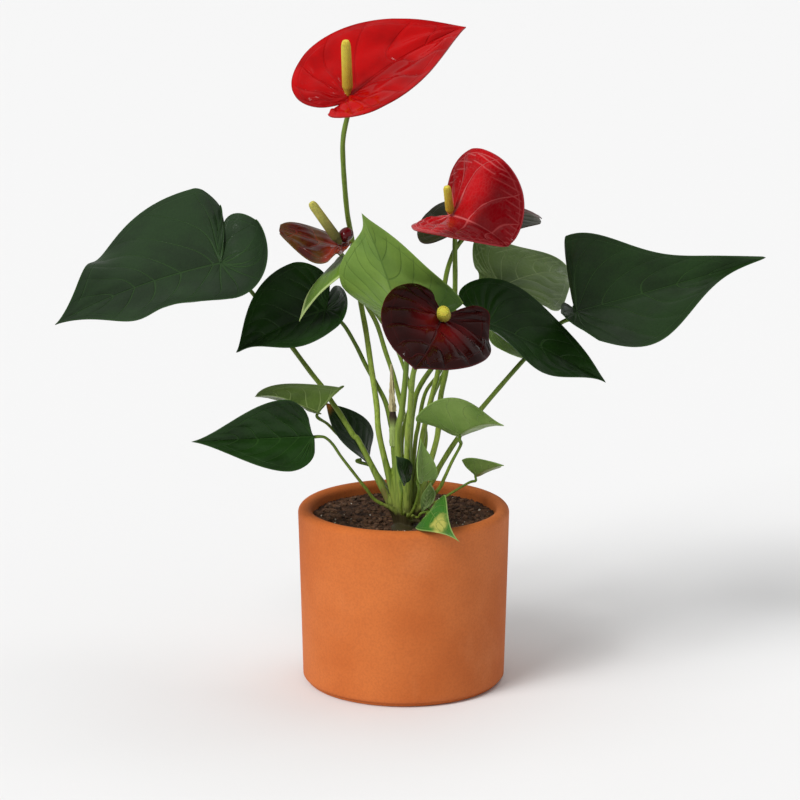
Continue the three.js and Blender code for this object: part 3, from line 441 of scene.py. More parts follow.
class Shader:
    """A material whose node tree is built a node at a time."""

    def __init__(self, name: str) -> None:
        """Start a material with an empty Principled shader.

        Args:
            name: the material's name.
        """
        self.material = bpy.data.materials.new(name)
        self.material.use_nodes = True
        self.tree = self.material.node_tree
        self.tree.nodes.clear()
        out = self.tree.nodes.new("ShaderNodeOutputMaterial")
        self.surface = self.tree.nodes.new("ShaderNodeBsdfPrincipled")
        self.tree.links.new(self.surface.outputs["BSDF"], out.inputs["Surface"])
        self.place = self.node("ShaderNodeTexCoord").outputs["Object"]

    def node(self, kind: str, **settings: object) -> bpy.types.Node:
        """Add a node and set its properties.

        Args:
            kind: the node's type.
            **settings: its properties.

        Returns:
            The node.
        """
        made = self.tree.nodes.new(kind)
        for key, value in settings.items():
            setattr(made, key, value)
        return made

    def feed(self, socket: Socket, value: object) -> None:
        """Link a socket to another, or set its value.

        Args:
            socket: the input.
            value: a socket, or a value of the input's own kind.
        """
        if isinstance(value, Socket):
            self.tree.links.new(value, socket)
        elif isinstance(value, tuple) and len(value) == 3 and socket.type == "RGBA":
            socket.default_value = (*value, 1)
        else:
            socket.default_value = value

    def set(self, **values: object) -> None:
        """Feed the Principled shader's sockets, with underscores for the spaces in their names."""
        for key, value in values.items():
            self.feed(self.surface.inputs[key.replace("_", " ")], value)

    def math(self, how: str, *values: object) -> Socket:
        """Add a Math node.

        Args:
            how: the operation.
            *values: its inputs, each a number or a socket.

        Returns:
            The result's socket.
        """
        made = self.node("ShaderNodeMath", operation=how)
        for socket, value in zip(made.inputs, values):
            self.feed(socket, value)
        return made.outputs[0]

    def times(self, first: object, second: object) -> Socket:
        """Multiply two values."""
        return self.math("MULTIPLY", first, second)

    def apart(self, first: object, second: object) -> Socket:
        """Give how far two values lie apart."""
        return self.math("ABSOLUTE", self.math("SUBTRACT", first, second))

    def vector(self, how: str, *values: object) -> bpy.types.Node:
        """Add a Vector Math node.

        Args:
            how: the operation.
            *values: its inputs, each a vector or a socket.

        Returns:
            The node.
        """
        made = self.node("ShaderNodeVectorMath", operation=how)
        for socket, value in zip(made.inputs, values):
            self.feed(socket, value)
        return made

    def split(self, vector: Socket) -> list[Socket]:
        """Take a vector apart into its three numbers.

        Args:
            vector: its socket.

        Returns:
            The sockets of its x, y and z.
        """
        made = self.node("ShaderNodeSeparateXYZ")
        self.feed(made.inputs[0], vector)
        return list(made.outputs)

    def attribute(self, name: str) -> Socket:
        """Read one of the mesh's own attributes as a vector."""
        return self.node("ShaderNodeAttribute", attribute_name=name).outputs["Vector"]

    def mix(self, share: object, low: object, high: object) -> Socket:
        """Mix two colours.

        Args:
            share: how much of the second, a number or a socket.
            low: the first colour or socket.
            high: the second colour or socket.

        Returns:
            The mixed colour's socket.
        """
        made = self.node("ShaderNodeMix", data_type="RGBA")
        self.feed(made.inputs["Factor"], share)
        self.feed(made.inputs[6], low)
        self.feed(made.inputs[7], high)
        return made.outputs[2]

    def band(self, value: object, low: float, high: float, to: Pair = (0, 1)) -> Socket:
        """Ease a value from one range to another, clamped at both ends.

        Args:
            value: the input socket.
            low: the input at which the result is the first of to.
            high: the input at which the result is the second of to.
            to: the results.

        Returns:
            The eased value's socket.
        """
        made = self.node("ShaderNodeMapRange", interpolation_type="SMOOTHSTEP")
        flip = high < low
        ends = (high, low, to[1], to[0]) if flip else (low, high, to[0], to[1])
        self.feed(made.inputs["Value"], value)
        for socket, number in zip(list(made.inputs)[1:5], ends):
            socket.default_value = number
        return made.outputs[0]

    def tint(
        self, skin: object, code: str, value: object, low: float, high: float, most: float = 1
    ) -> Socket:
        """Lay a colour over another as a value goes from low to high.

        Args:
            skin: the colour or socket so far.
            code: the new colour, as six hex digits.
            value: the input socket.
            low: the input at which there is none of the new colour.
            high: the input at which there is most of it.
            most: the most of it.

        Returns:
            The colour's socket.
        """
        return self.mix(self.band(value, low, high, (0, most)), skin, tone(code))

    def noise(self, scale: float, detail: float = 3, stretch: Triple = (1, 1, 1)) -> Socket:
        """Add noise on the object's coordinates.

        Args:
            scale: repeats in a metre.
            detail: octaves.
            stretch: how much each axis is scaled.

        Returns:
            The noise's socket, about 0.5 in the middle.
        """
        place = self.place
        if stretch != (1, 1, 1):
            mapping = self.node("ShaderNodeMapping")
            mapping.inputs["Scale"].default_value = stretch
            self.feed(mapping.inputs["Vector"], place)
            place = mapping.outputs[0]
        made = self.node("ShaderNodeTexNoise")
        made.inputs["Scale"].default_value = scale
        made.inputs["Detail"].default_value = detail
        self.feed(made.inputs["Vector"], place)
        return made.outputs["Fac"]

    def cells(self, scale: float, feature: str = "DISTANCE_TO_EDGE") -> Socket:
        """Add a net of cells on the object's coordinates.

        Args:
            scale: cells in a metre.
            feature: what is measured in each cell.

        Returns:
            The measured distance's socket.
        """
        made = self.node("ShaderNodeTexVoronoi", feature=feature)
        made.inputs["Scale"].default_value = scale
        self.feed(made.inputs["Vector"], self.place)
        return made.outputs["Distance"]

    def bump(self, height: object, depth: float, under: object = None) -> Socket:
        """Raise a height pattern.

        Args:
            height: the pattern's socket.
            depth: its full height in millimetres.
            under: a normal that it is laid on.

        Returns:
            The normal's socket.
        """
        made = self.node("ShaderNodeBump")
        made.inputs["Distance"].default_value = depth * MM
        self.feed(made.inputs["Height"], height)
        if under is not None:
            self.feed(made.inputs["Normal"], under)
        return made.outputs[0]


# ---- Veins, which the mesh and the shader share


@dataclass(frozen=True)
class Veins:
    """Where a blade's veins run and how deep they lie.

    Attributes:
        count: side veins from the notch to the tip, on each half.
        sweep: how far a vein leans to the tip on its way to the margin.
        width: of a side vein at the midrib, in millimetres.
        puff: how far the blade swells between the veins, in millimetres.
        rim: distance of the vein along the margin, in millimetres.
        cross: distance between cross veins, in millimetres, or 0 where they don't show.
        ripple: height of the slow waves over the blade, in millimetres.
    """

    count: float
    sweep: float
    width: float
    puff: float
    rim: float
    cross: float = 0
    ripple: float = 0.3


@dataclass(frozen=True)
class BladeFinish:
    """Colours and gloss of a blade.

    Attributes:
        top: upper face.
        shade: darker cloud on it.
        line: veins on it.
        under: lower face.
        under_line: veins on the lower face.
        edge: margin.
        show: how strongly the veins are coloured.
        rough: roughness.
        gloss: strength of the skin's own reflection.
        coat: weight of the waxy coat.
        net: depth of the fine net of veins, in millimetres.
        slot: the record's material slot.
        veins: the veins.
        thickness: of the finished sheet, in millimetres.
    """

    top: str
    shade: str
    line: str
    under: str
    under_line: str
    edge: str
    show: float
    rough: float
    gloss: float
    coat: float
    net: float
    slot: str
    veins: Veins
    thickness: float = 0.6


LEAF_VEINS = Veins(13, 0.09, 0.9, 0.4, 4)
SMALL_VEINS = Veins(11, 0.08, 0.5, 0.18, 2, ripple=0.15)
BLADE_FINISHES = {
    Tissue.DARK: BladeFinish(
        "1b3610", "102308", "3a5c28", "4f7a35", "78984f", "2c4c1d", 0.24, 0.38, 0.16, 0.05, 0.05,
        "leaf_dark", LEAF_VEINS,
    ),
    Tissue.OLIVE: BladeFinish(
        "50652a", "3a4c1d", "8a9c5c", "a6ba6c", "c0cc92", "7d8a5c", 0.4, 0.42, 0.2, 0.05, 0.06,
        "leaf_olive", LEAF_VEINS,
    ),
    Tissue.YOUNG: BladeFinish(
        "5c7c24", "48661a", "8ba648", "84a046", "a9c268", "b9cb84", 0.4, 0.34, 0.2, 0.08, 0.04,
        "leaf_young", SMALL_VEINS,
    ),
    Tissue.PALE_UNDER: BladeFinish(
        "7b9a42", "67883a", "4b6e2a", "6f8f3f", "48702a", "86a450", 0.55, 0.5, 0.15, 0.03, 0.05,
        "leaf_young", Veins(13, 0.09, 0.9, -0.3, 4),
    ),
    Tissue.LIGHT: BladeFinish(
        "7a954c", "5e7d36", "9cb56e", "7b9a4c", "9bb56c", "8eab5e", 0.45, 0.4, 0.2, 0.06, 0.05,
        "leaf_young", SMALL_VEINS,
    ),
    Tissue.VARIEGATED: BladeFinish(
        "35681f", "244d14", "7fa24c", "709445", "98b468", "a8bc6c", 0.4, 0.4, 0.22, 0.08, 0.05,
        "leaf_young", SMALL_VEINS,
    ),
    Tissue.GREY: BladeFinish(
        "5b7238", "43592a", "8b9f66", "869c5c", "9fb27c", "8ea266", 0.5, 0.42, 0.25, 0.08, 0.1,
        "leaf_olive", Veins(13, 0.09, 0.9, 0.6, 4, 7),
    ),
    Tissue.SCARLET: BladeFinish(
        "b00507", "860305", "7a0406", "96211a", "7d0f0c", "7c0c0a", 0.1, 0.17, 0.1, 0.14, 0.03,
        "spathe_red", Veins(9, 0.05, 1.6, 0.9, 5, ripple=1.3), 0.8,
    ),
    Tissue.CRIMSON: BladeFinish(
        "b41218", "8c060d", "da7a78", "7c1820", "b04c4c", "a03c40", 0.55, 0.2, 0.08, 0.08, 0.08,
        "spathe_red", Veins(7, 0.05, 1.2, 1.6, 3, 5, 0.5), 0.8,
    ),
    Tissue.BURGUNDY: BladeFinish(
        "270a08", "150403", "420d0e", "33100f", "4c1817", "501214", 0.3, 0.17, 0.08, 0.16, 0.04,
        "spathe_burgundy", Veins(9, 0.04, 2.0, 2.2, 6, ripple=0.5), 0.8,
    ),
    Tissue.BRONZE: BladeFinish(
        "4c120c", "2e0a06", "84301f", "5a4a1e", "6e5c2a", "6e5a2c", 0.35, 0.16, 0.22, 0.35, 0.04,
        "spathe_brown", Veins(8, 0.05, 1.2, 1.0, 4, ripple=0.7), 0.7,
    ),
    Tissue.PLUM: BladeFinish(
        "2a2e12", "1d200c", "44422a", "2b3014", "3d4422", "45302c", 0.35, 0.36, 0.08, 0.04, 0.06,
        "spathe_brown", Veins(11, 0.05, 1.2, 0.5, 4), 0.7,
    ),
}


# ---- Blade shapes


MIDRIB_STEPS = 40
# How far a rib's foot lies nearer to the base than its end, as a share of its reach.
RIB_RAKE = 0.6
# Where on the margin its curves meet: the notch, the ear, the widest place and the tip.
MARGIN_BREAKS = (0.0, 0.2, 0.5, 1.0)


@dataclass
class BladeSurface:
    """The middle surface of one blade, in millimetres."""

    blade: Blade

    def __post_init__(self) -> None:
        """Lay the midrib out and place it between base and tip."""
        blade = self.blade
        self.steps = np.linspace(0, 1, MIDRIB_STEPS + 1)
        middle = (self.steps[:-1] + self.steps[1:]) / 2
        walked = np.cumsum(self.heading(middle), axis=0) / MIDRIB_STEPS
        self.midrib = np.vstack([np.zeros(3), walked])
        base, tip = np.array(blade.base, float), np.array(blade.tip, float)
        along, chord = unit(tip - base), unit(self.midrib[-1])
        up = unit(UPRIGHT - along * along[2])
        up = turn_about(up, along, math.radians(-blade.roll))
        own_up = unit(UPRIGHT - chord * chord[2])
        world = np.array([along, np.cross(up, along), up]).T
        own = np.array([chord, np.cross(own_up, chord), own_up])
        self.turn = world @ own
        self.length = float(np.linalg.norm(tip - base) / np.linalg.norm(self.midrib[-1]))
        self.base = base

    def heading(self, u: np.ndarray) -> np.ndarray:
        """Give the midrib's direction at shares of its length."""
        down, aside = math.radians(self.blade.droop) * u, math.radians(self.blade.bend) * u
        return np.stack(
            [np.cos(down) * np.cos(aside), np.sin(aside), -np.sin(down) * np.cos(aside)], axis=-1
        )

    def margin(self, side: int, s: np.ndarray) -> np.ndarray:
        """Give the outline of one half.

        Args:
            side: 0 for left and 1 for right.
            s: places along the margin, from the notch at 0 to the tip at 1.

        Returns:
            Rows of (along the blade, out from the midrib), as shares of its length.
        """
        b, w, e = self.blade, self.blade.half[side], self.blade.ear[side]
        back, lean = b.back[side], b.lean[side]
        notch, ear = (-b.notch, 0.0), (-e, b.lobe * w)
        slope = 0.3 * e * (back - 0.5) / (b.lobe * w * (0.45 + 0.2 * back))
        wide, tip = (b.widest, w), (1.0, 0.0)
        arcs = (
            (
                notch, (-b.notch - back * (e - b.notch), lean * w),
                (-e * (0.85 + 0.3 * back), b.lobe * w * (0.55 - 0.2 * back)), ear,
            ),
            (
                ear, (-e + 0.5 * slope * (1 - b.lobe) * w, 0.5 * (1 + b.lobe) * w),
                (0.5 * (b.widest - e), w), wide,
            ),
            (
                wide, (b.widest + b.shoulder * (1 - b.widest), w),
                (1 - b.taper * (1 - b.widest), b.point * w), tip,
            ),
        )
        out = np.zeros((*s.shape, 2))
        for k, arc in enumerate(arcs):
            start, end = MARGIN_BREAKS[k : k + 2]
            inside = (s >= start) if k else np.ones_like(s, bool)
            t = np.clip((s - start) / (end - start), 0, 1)[..., None]
            a, b1, b2, c = (np.array(p) for p in arc)
            curve = a * (1 - t) ** 3 + 3 * b1 * t * (1 - t) ** 2 + 3 * b2 * t * t * (1 - t) + c * t**3
            out = np.where(inside[..., None], curve, out)
        return out

    def foot(self, s: np.ndarray) -> np.ndarray:
        """Give where on the midrib the rib to a place on the margin starts.

        Args:
            s: places along the margin.

        Returns:
            Places along the midrib, as shares of the blade's length.
        """
        margins = [self.margin(side, s) for side in (0, 1)]
        rake = [np.maximum(0, m[..., 0] - RIB_RAKE * np.abs(m[..., 1])) for m in margins]
        return (rake[0] + rake[1]) / 2

    def flat(self, side: int, s: np.ndarray, t: np.ndarray) -> tuple[np.ndarray, np.ndarray]:
        """Give places on the unfolded blade: along it, and out from the midrib."""
        margin, foot = self.margin(side, s), self.foot(s)
        return foot + t * (margin[..., 0] - foot), t * margin[..., 1]

    def own_points(self, side: int, s: np.ndarray, t: np.ndarray) -> np.ndarray:
        """Give points of one half.

        Args:
            side: 0 for left and 1 for right.
            s: places along the margin.
            t: shares of the way from the midrib to the margin.

        Returns:
            The points.
        """
        b = self.blade
        u, v = self.flat(side, s, t)
        w = b.half[side]
        along = np.clip(u, 0, 1)
        tangent = self.heading(along)
        aside = math.radians(b.bend) * along
        level = np.stack([-np.sin(aside), np.cos(aside), np.zeros_like(aside)], axis=-1)
        out = turn_about(level, tangent, math.radians(b.twist) * along)
        up = np.cross(tangent, out)
        point = np.stack([np.interp(along, self.steps, self.midrib[:, k]) for k in range(3)], axis=-1)
        behind = np.maximum(-u, 0)
        rate = math.radians(b.lift[side] or 1) / max(b.ear[side], 0.02)
        point = point - tangent * (np.sin(rate * behind) / rate)[..., None]
        point = point + up * ((1 - np.cos(rate * behind)) / rate)[..., None]
        fold, curl = math.radians(b.fold[side]), math.radians(b.curl[side] or 0.01)
        far = fold + curl * v / w
        reach = w * (np.sin(far) - math.sin(fold)) / curl
        rise = w * (math.cos(fold) - np.cos(far)) / curl
        turns = 2 * math.pi * b.waves * s + math.radians(b.phase[side])
        wave = b.wave[side] * np.sin(turns) * t * t * np.sqrt(np.abs(np.sin(math.pi * s)))
        point = point + out * (reach if side == 0 else -reach)[..., None] + up * (rise + wave)[..., None]
        return self.base + self.length * (point @ self.turn.T)

    def points(self, s: np.ndarray, across: np.ndarray) -> np.ndarray:
        """Give points of the whole blade, with the two halves joined along the notch.

        Args:
            s: places along the margin.
            across: from -1 at the right margin to 1 at the left one.

        Returns:
            The points.
        """
        t = np.abs(across)
        halves = [self.own_points(side, s, t) for side in (0, 1)]
        seam = [self.own_points(side, np.zeros_like(s), t) for side in (0, 1)]
        near = np.clip(1 - s * self.blade.ribs, 0, 1)[..., None]
        middle = (seam[0] + seam[1]) / 2
        joined = [half + (middle - own) * near for half, own in zip(halves, seam)]
        return np.where((across > 0)[..., None], joined[0], joined[1])

    def normal_at_base(self) -> np.ndarray:
        """Give the upper face's direction where the stem joins, as the solid's mesh has it.

        Returns:
            The direction, as a unit vector.
        """
        ribs = self.blade.ribs
        s = np.arange(ribs + 1) / ribs
        feet = self.foot(s)
        midline = self.points(s, np.zeros(ribs + 1))
        total = np.zeros(3)
        for side in (1, -1):
            row = self.points(s, np.full(ribs + 1, side / self.blade.steps)) - self.base
            for j in range(ribs):
                total += side * np.cross(row[j + 1], row[j])
                if feet[j + 1] > 0:
                    total += side * np.cross(midline[j + 1] - self.base, row[j + 1])
                    break
        return unit(total)


# ---- Making pieces


def only(piece: bpy.types.Object) -> None:
    """Select one object alone and make it active.

    Args:
        piece: the object.
    """
    bpy.ops.object.select_all(action="DESELECT")
    piece.select_set(True)
    bpy.context.view_layer.objects.active = piece


def added(add: Callable[..., object], **sizes: object) -> bpy.types.Object:
    """Add a primitive while nothing else is selected.

    Args:
        add: its operator.
        **sizes: the operator's settings.

    Returns:
        The new object.
    """
    bpy.ops.object.select_all(action="DESELECT")
    add(**sizes)
    return bpy.context.object


@contextmanager
def editing(piece: bpy.types.Object) -> Iterator[None]:
    """Open a piece in edit mode, all of it selected, for the length of a with block.

    Args:
        piece: the object.
    """
    only(piece)
    bpy.ops.object.mode_set(mode="EDIT")
    bpy.ops.mesh.select_all(action="SELECT")
    yield
    bpy.ops.object.mode_set(mode="OBJECT")


def apply_modifier(piece: bpy.types.Object, kind: str, **settings: object) -> None:
    """Add a modifier with its settings and apply it.

    Args:
        piece: the object.
        kind: the modifier's type.
        **settings: its properties.
    """
    only(piece)
    made = piece.modifiers.new(kind.title(), kind)
    for key, value in settings.items():
        setattr(made, key, value)
    bpy.ops.object.modifier_apply(modifier=made.name)


def smooth(piece: bpy.types.Object, angle: float = 40) -> None:
    """Shade a piece smooth, except across edges sharper than an angle in degrees."""
    only(piece)
    bpy.ops.object.shade_smooth_by_angle(angle=math.radians(angle))


def places(piece: bpy.types.Object) -> np.ndarray:
    """Read a mesh's points in millimetres.

    Args:
        piece: the object.

    Returns:
        Its points, one in each row.
    """
    mesh = piece.data
    flat = np.empty(len(mesh.vertices) * 3)
    mesh.vertices.foreach_get("co", flat)
    return flat.reshape(-1, 3) / MM


def put(piece: bpy.types.Object, points: np.ndarray) -> None:
    """Write a mesh's points, given in millimetres."""
    piece.data.vertices.foreach_set("co", (points * MM).ravel())
    piece.data.update()


def normals(piece: bpy.types.Object) -> np.ndarray:
    """Read a mesh's normals at its points.

    Args:
        piece: the object.

    Returns:
        The unit normals, one in each row.
    """
    flat = np.empty(len(piece.data.vertices) * 3)
    piece.data.vertex_normals.foreach_get("vector", flat)
    return flat.reshape(-1, 3)


def keep_inside(piece: bpy.types.Object) -> None:
    """Hold a piece within the solids' box, where its finer curves would pass it by a hair."""
    low, high = (np.array(corner) / MM for corner in CAD_BOX)
    put(piece, np.clip(places(piece), low + 0.02, high - 0.02))


def hand_over(
    piece: bpy.types.Object, name: str, slot: str, nodes: tuple[str, ...], *dress: bpy.types.Material
) -> None:
    """Name a finished piece, dress it and let it stand for its solids.

    Args:
        piece: the object.
        name: the piece's name.
        slot: the record's material slot; not used.
        nodes: the solids it stands for.
        *dress: its materials, in the order of its slots.
    """
    piece.name = name
    piece.data.name = name
    piece.data.materials.clear()
    for material in dress:
        piece.data.materials.append(material)
    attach(piece, "root")
    if nodes:
        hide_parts(*nodes)
    LOG.info("%s: %d faces", name, len(piece.data.polygons))


def joined(pieces: list[bpy.types.Object]) -> bpy.types.Object:
    """Join objects into the first and return it.

    Args:
        pieces: the objects.

    Returns:
        The first of them, which now holds all.
    """
    bpy.ops.object.select_all(action="DESELECT")
    for piece in pieces:
        piece.select_set(True)
    bpy.context.view_layer.objects.active = pieces[0]
    bpy.ops.object.join()
    return pieces[0]


@dataclass
class Route:
    """A smooth way through points, in millimetres, as the stems' solids follow it."""

    stops: np.ndarray

    def points(self, start: float, end: float, count: int) -> np.ndarray:
        """Give points on the way.

        Args:
            start: where to start, from 0 to 1 over all the stops.
            end: where to end.
            count: how many points.

        Returns:
            The points.
        """
        p = self.stops
        p = np.vstack([2 * p[0] - p[1], p, 2 * p[-1] - p[-2]])
        x = np.linspace(start, end, count) * (len(self.stops) - 1)
        k = np.minimum(x.astype(int), len(self.stops) - 2)
        t = (x - k)[:, None]
        before, here, there, after = p[k], p[k + 1], p[k + 2], p[k + 3]
        leave, arrive = 0.5 * (there - before), 0.5 * (after - here)
        return (
            (2 * here - 2 * there + leave + arrive) * t**3
            + (3 * there - 3 * here - 2 * leave - arrive) * t**2 + leave * t + here
        )


def shares(points: np.ndarray) -> np.ndarray:
    """Give how far along a way each of its points lies, from 0 to 1."""
    walked = np.concatenate([[0], np.cumsum(np.linalg.norm(np.diff(points, axis=0), axis=1))])
    return walked / walked[-1]


def rod(points: np.ndarray, radii: np.ndarray, roundness: int = 3) -> bpy.types.Object:
    """Model a round rod along points, closed at both ends.

    Args:
        points: its centre line, in millimetres.
        radii: its radius at each point, in millimetres.
        roundness: the bevel's resolution.

    Returns:
        The rod, as a mesh.
    """
    curve = added(bpy.ops.curve.primitive_nurbs_path_add).data
    curve.splines.clear()
    line = curve.splines.new("POLY")
    line.points.add(len(points) - 1)
    line.points.foreach_set("co", np.column_stack([points * MM, np.ones(len(points))]).ravel())
    line.points.foreach_set("radius", radii)
    curve.bevel_depth = MM
    curve.bevel_resolution = roundness
    curve.use_fill_caps = True
    bpy.ops.object.convert(target="MESH")
    piece = bpy.context.object
    with editing(piece):
        bpy.ops.mesh.remove_doubles(threshold=1e-6)
        bpy.ops.mesh.normals_make_consistent(inside=False)
    return piece


def rings(profile: list[Pair], sides: int) -> bpy.types.Object:
    """Model a turned piece by pulling one ring along a profile.

    Args:
        profile: (radius, height) of each ring, in millimetres, from the middle below to the
            middle above.
        sides: points in a ring.

    Returns:
        The piece, closed at both ends by a fan to the axis.
    """
    radius, height = profile[0]
    piece = added(
        bpy.ops.mesh.primitive_circle_add, vertices=sides, radius=radius * MM,
        location=(0, 0, height * MM), fill_type="TRIFAN",
    )
    bpy.ops.object.transform_apply(location=True)
    with editing(piece):
        bpy.ops.mesh.select_mode(type="EDGE")
        bpy.ops.mesh.select_all(action="DESELECT")
        bpy.ops.mesh.select_non_manifold(extend=False)
        for (near, low), (far, high) in zip(profile, profile[1:]):
            rise = {"value": (0, 0, (high - low) * MM)}
            bpy.ops.mesh.extrude_region_move(TRANSFORM_OT_translate=rise)
            bpy.ops.transform.resize(
                value=(far / near, far / near, 1), center_override=(0, 0, high * MM)
            )
        bpy.ops.mesh.fill()
        bpy.ops.mesh.select_all(action="SELECT")
        bpy.ops.mesh.normals_make_consistent(inside=False)
    return piece


class Beads:
    """Copies of one small ball, set one by one and handed over as one mesh."""

    def __init__(self, radius: float) -> None:
        """Model the ball.

        Args:
            radius: the ball's radius, in millimetres.
        """
        self.piece = added(
            bpy.ops.mesh.primitive_ico_sphere_add, subdivisions=1, radius=radius * MM
        )
        self.ball = places(self.piece)
        self.copies: list[np.ndarray] = []

    def strung(self) -> bpy.types.Object:
        """Give one mesh with every copy in it.

        Returns:
            The mesh's object.
        """
        mesh = self.piece.data
        faces = np.array([list(face.vertices) for face in mesh.polygons])
        every = [faces + k * len(self.ball) for k in range(len(self.copies))]
        mesh.clear_geometry()
        mesh.from_pydata((np.vstack(self.copies) * MM).tolist(), [], np.vstack(every).tolist())
        mesh.update()
        return self.piece


# ---- Blades and stems


# How far the cross veins of each strip are set on from those of the last, in their own steps.
CROSS_STAGGER = 0.618
# How far the veins are pressed in from above, in millimetres.
VEIN_PRESS = 0.3
# The middle of the variegated leaf's pale spot, in metres.
PALE_SPOT = (0.0245, -0.072, 0.124)
# The young spathe's rolled ear: half its sizes and its place in millimetres, its turn in radians.
EAR_HALF_SIZES = np.array([4.6, 5.2, 5.2])
EAR_PLACE = np.array([-37.7, 12.0, 297.9])
EAR_TURN = 0.5


@dataclass
class BladePiece:
    """Models and dresses one blade.

    Attributes:
        blade: its shape.
        node: the solid it stands for.
        valley: breadth of the valley along a side vein, in millimetres.
        groove: breadth of the midrib's groove, in millimetres.
        calm: how far from the midrib and the margin the swelling is full, in millimetres.
        cross_near: how far from the margin the cross veins are full, in millimetres.
        cross_far: how far from it they are gone.
    """

    blade: Blade
    node: str
    valley: float = 2.4
    groove: float = 1.5
    calm: Pair = (6, 5)
    cross_near: float = 8
    cross_far: float = 15

    def __post_init__(self) -> None:
        """Work out the blade's surface and look its finish up."""
        self.surface = BladeSurface(self.blade)
        self.finish = BLADE_FINISHES[self.blade.finish]

    def build(self) -> None:
        """Shape a grid into the blade, press its veins in and give it its thickness."""
        blade, surface, finish = self.blade, self.surface, self.finish
        size = surface.length
        piece = added(
            bpy.ops.mesh.primitive_grid_add, x_subdivisions=max(40, round(size * 1.25)),
            y_subdivisions=2 * max(12, round(size * max(blade.half) / 1.1)), size=2,
        )
        sheet = places(piece) * MM
        s, y = np.clip((sheet[:, 0] + 1) / 2, 0, 1), np.clip(sheet[:, 1], -1, 1)
        self.note(piece.data, s, y)
        points = surface.points(s, y)
        put(piece, points)
        put(piece, points + normals(piece) * self.relief(s, np.abs(y), y)[:, None])
        with editing(piece):
            bpy.ops.mesh.remove_doubles(threshold=2e-5)
        apply_modifier(
            piece, "SOLIDIFY", thickness=finish.thickness * MM, offset=0, material_offset=1,
            material_offset_rim=2, use_quality_normals=True,
        )
        if blade.name == "young":
            piece = joined([piece, self.rolled_ear()])
        smooth(piece, 50)
        keep_inside(piece)
        dress = (self.face(True), self.face(False), self.rim())
        hand_over(piece, f"{self.node}_fine", finish.slot, (self.node,), *dress)

    def rolled_ear(self) -> bpy.types.Object:
        """Model the small rolled ear behind the youngest spathe, as a scroll that closes on itself.

        Returns:
            The ear.
        """
        ear = added(
            bpy.ops.mesh.primitive_uv_sphere_add, segments=40, ring_count=24, radius=MM
        )
        ball = places(ear)
        angle = np.arctan2(ball[:, 2], ball[:, 0])
        scroll = 1 - 0.16 * np.exp(-(((angle - 0.9 - 0.5 * ball[:, 1]) / 0.16) ** 2))
        squeeze = 1 + 0.1 * np.sin(2 * angle + 0.7)
        shape = ball * (scroll * squeeze)[:, None] * EAR_HALF_SIZES
        put(ear, turn_about(shape, UPRIGHT[None, :], EAR_TURN) + EAR_PLACE)
        return ear

    def note(self, mesh: bpy.types.Mesh, s: np.ndarray, y: np.ndarray) -> None:
        """Write where each corner lies on the blade, for the shaders to read.

        Args:
            mesh: the flat grid.
            s: each point's place along the margin.
            y: each point's place across, from -1 to 1.
        """
        surface, size, t = self.surface, self.surface.length, np.abs(y)
        corner = np.empty(len(mesh.loops), int)
        mesh.loops.foreach_get("vertex_index", corner)
        mesh.uv_layers.active.data.foreach_set("uv", np.column_stack([s, 0.5 + y / 2])[corner].ravel())
        step = 0.004
        after, before = np.minimum(s + step, 1), np.maximum(s - step, 0)
        sides = []
        for side in (0, 1):
            u, v = surface.flat(side, s, t)
            (u2, v2), (u1, v1) = surface.flat(side, after, t), surface.flat(side, before, t)
            margin, foot = surface.margin(side, s), surface.foot(s)
            rib = np.stack([margin[:, 0] - foot, margin[:, 1]])
            wide = np.maximum(np.hypot(*rib), 1e-6)
            spread = np.abs((u2 - u1) * rib[1] - (v2 - v1) * rib[0]) / wide / (after - before)
            sides.append(np.stack([spread * size, wide * size, np.abs(margin[:, 1]) * size, u]))
        self.spread, self.reach, self.half, along = np.where(y > 0, *sides)
        veins = self.finish.veins
        wander = 0.1 * np.sin(9 * s + 4 * t + y) + 0.08 * np.sin(23 * s - 7 * y)
        self.count = (s - veins.sweep * t * t) * veins.count + wander
        self.out = t * self.reach
        for name, triple in (
            ("blade_scale", (self.spread, self.reach, self.half)),
            ("blade_run", (along, self.count, self.out)),
        ):
            layer = mesh.attributes.new(name, "FLOAT_VECTOR", "CORNER")
            layer.data.foreach_set("vector", np.column_stack(triple)[corner].ravel())

    def relief(self, s: np.ndarray, t: np.ndarray, y: np.ndarray) -> np.ndarray:
        """Give how far each point swells, in millimetres.

        Args:
            s: each point's place along the margin.
            t: each point's place from the midrib to the margin.
            y: each point's place across, from -1 to 1.

        Returns:
            The swelling, which is nothing at the veins, the midrib and the margin.
        """
        veins = self.finish.veins
        strip = np.floor(self.count)
        apart = np.abs(self.count - strip - 0.5) / veins.count * self.spread
        pillow = 1 - np.exp(-((apart / self.valley) ** 2))
        to_midrib, to_rim = t * self.half, (1 - t) * self.reach
        if veins.cross:
            rung = self.out / veins.cross + strip * CROSS_STAGGER
            off = np.abs(rung - np.floor(rung) - 0.5) * veins.cross
            near = np.clip((self.cross_far - to_rim) / (self.cross_far - self.cross_near), 0, 1)
            pillow = pillow * (1 - 0.65 * near * np.exp(-((off / 1.6) ** 2)))
        calm = np.clip(to_midrib / self.calm[0], 0, 1) * np.clip(to_rim / self.calm[1], 0, 1)
        groove = np.exp(-((to_midrib / self.groove) ** 2)) * (1 - s) * np.clip(self.reach / 12, 0, 1)
        slow = np.sin(11 * s + 5 * y + self.reach * 0.01) * np.sin(8 * y - 3 * s)
        slow = slow + 0.6 * np.sin(19 * s - 6 * y)
        return veins.puff * (pillow * calm - 0.6 * groove) + veins.ripple * slow * calm

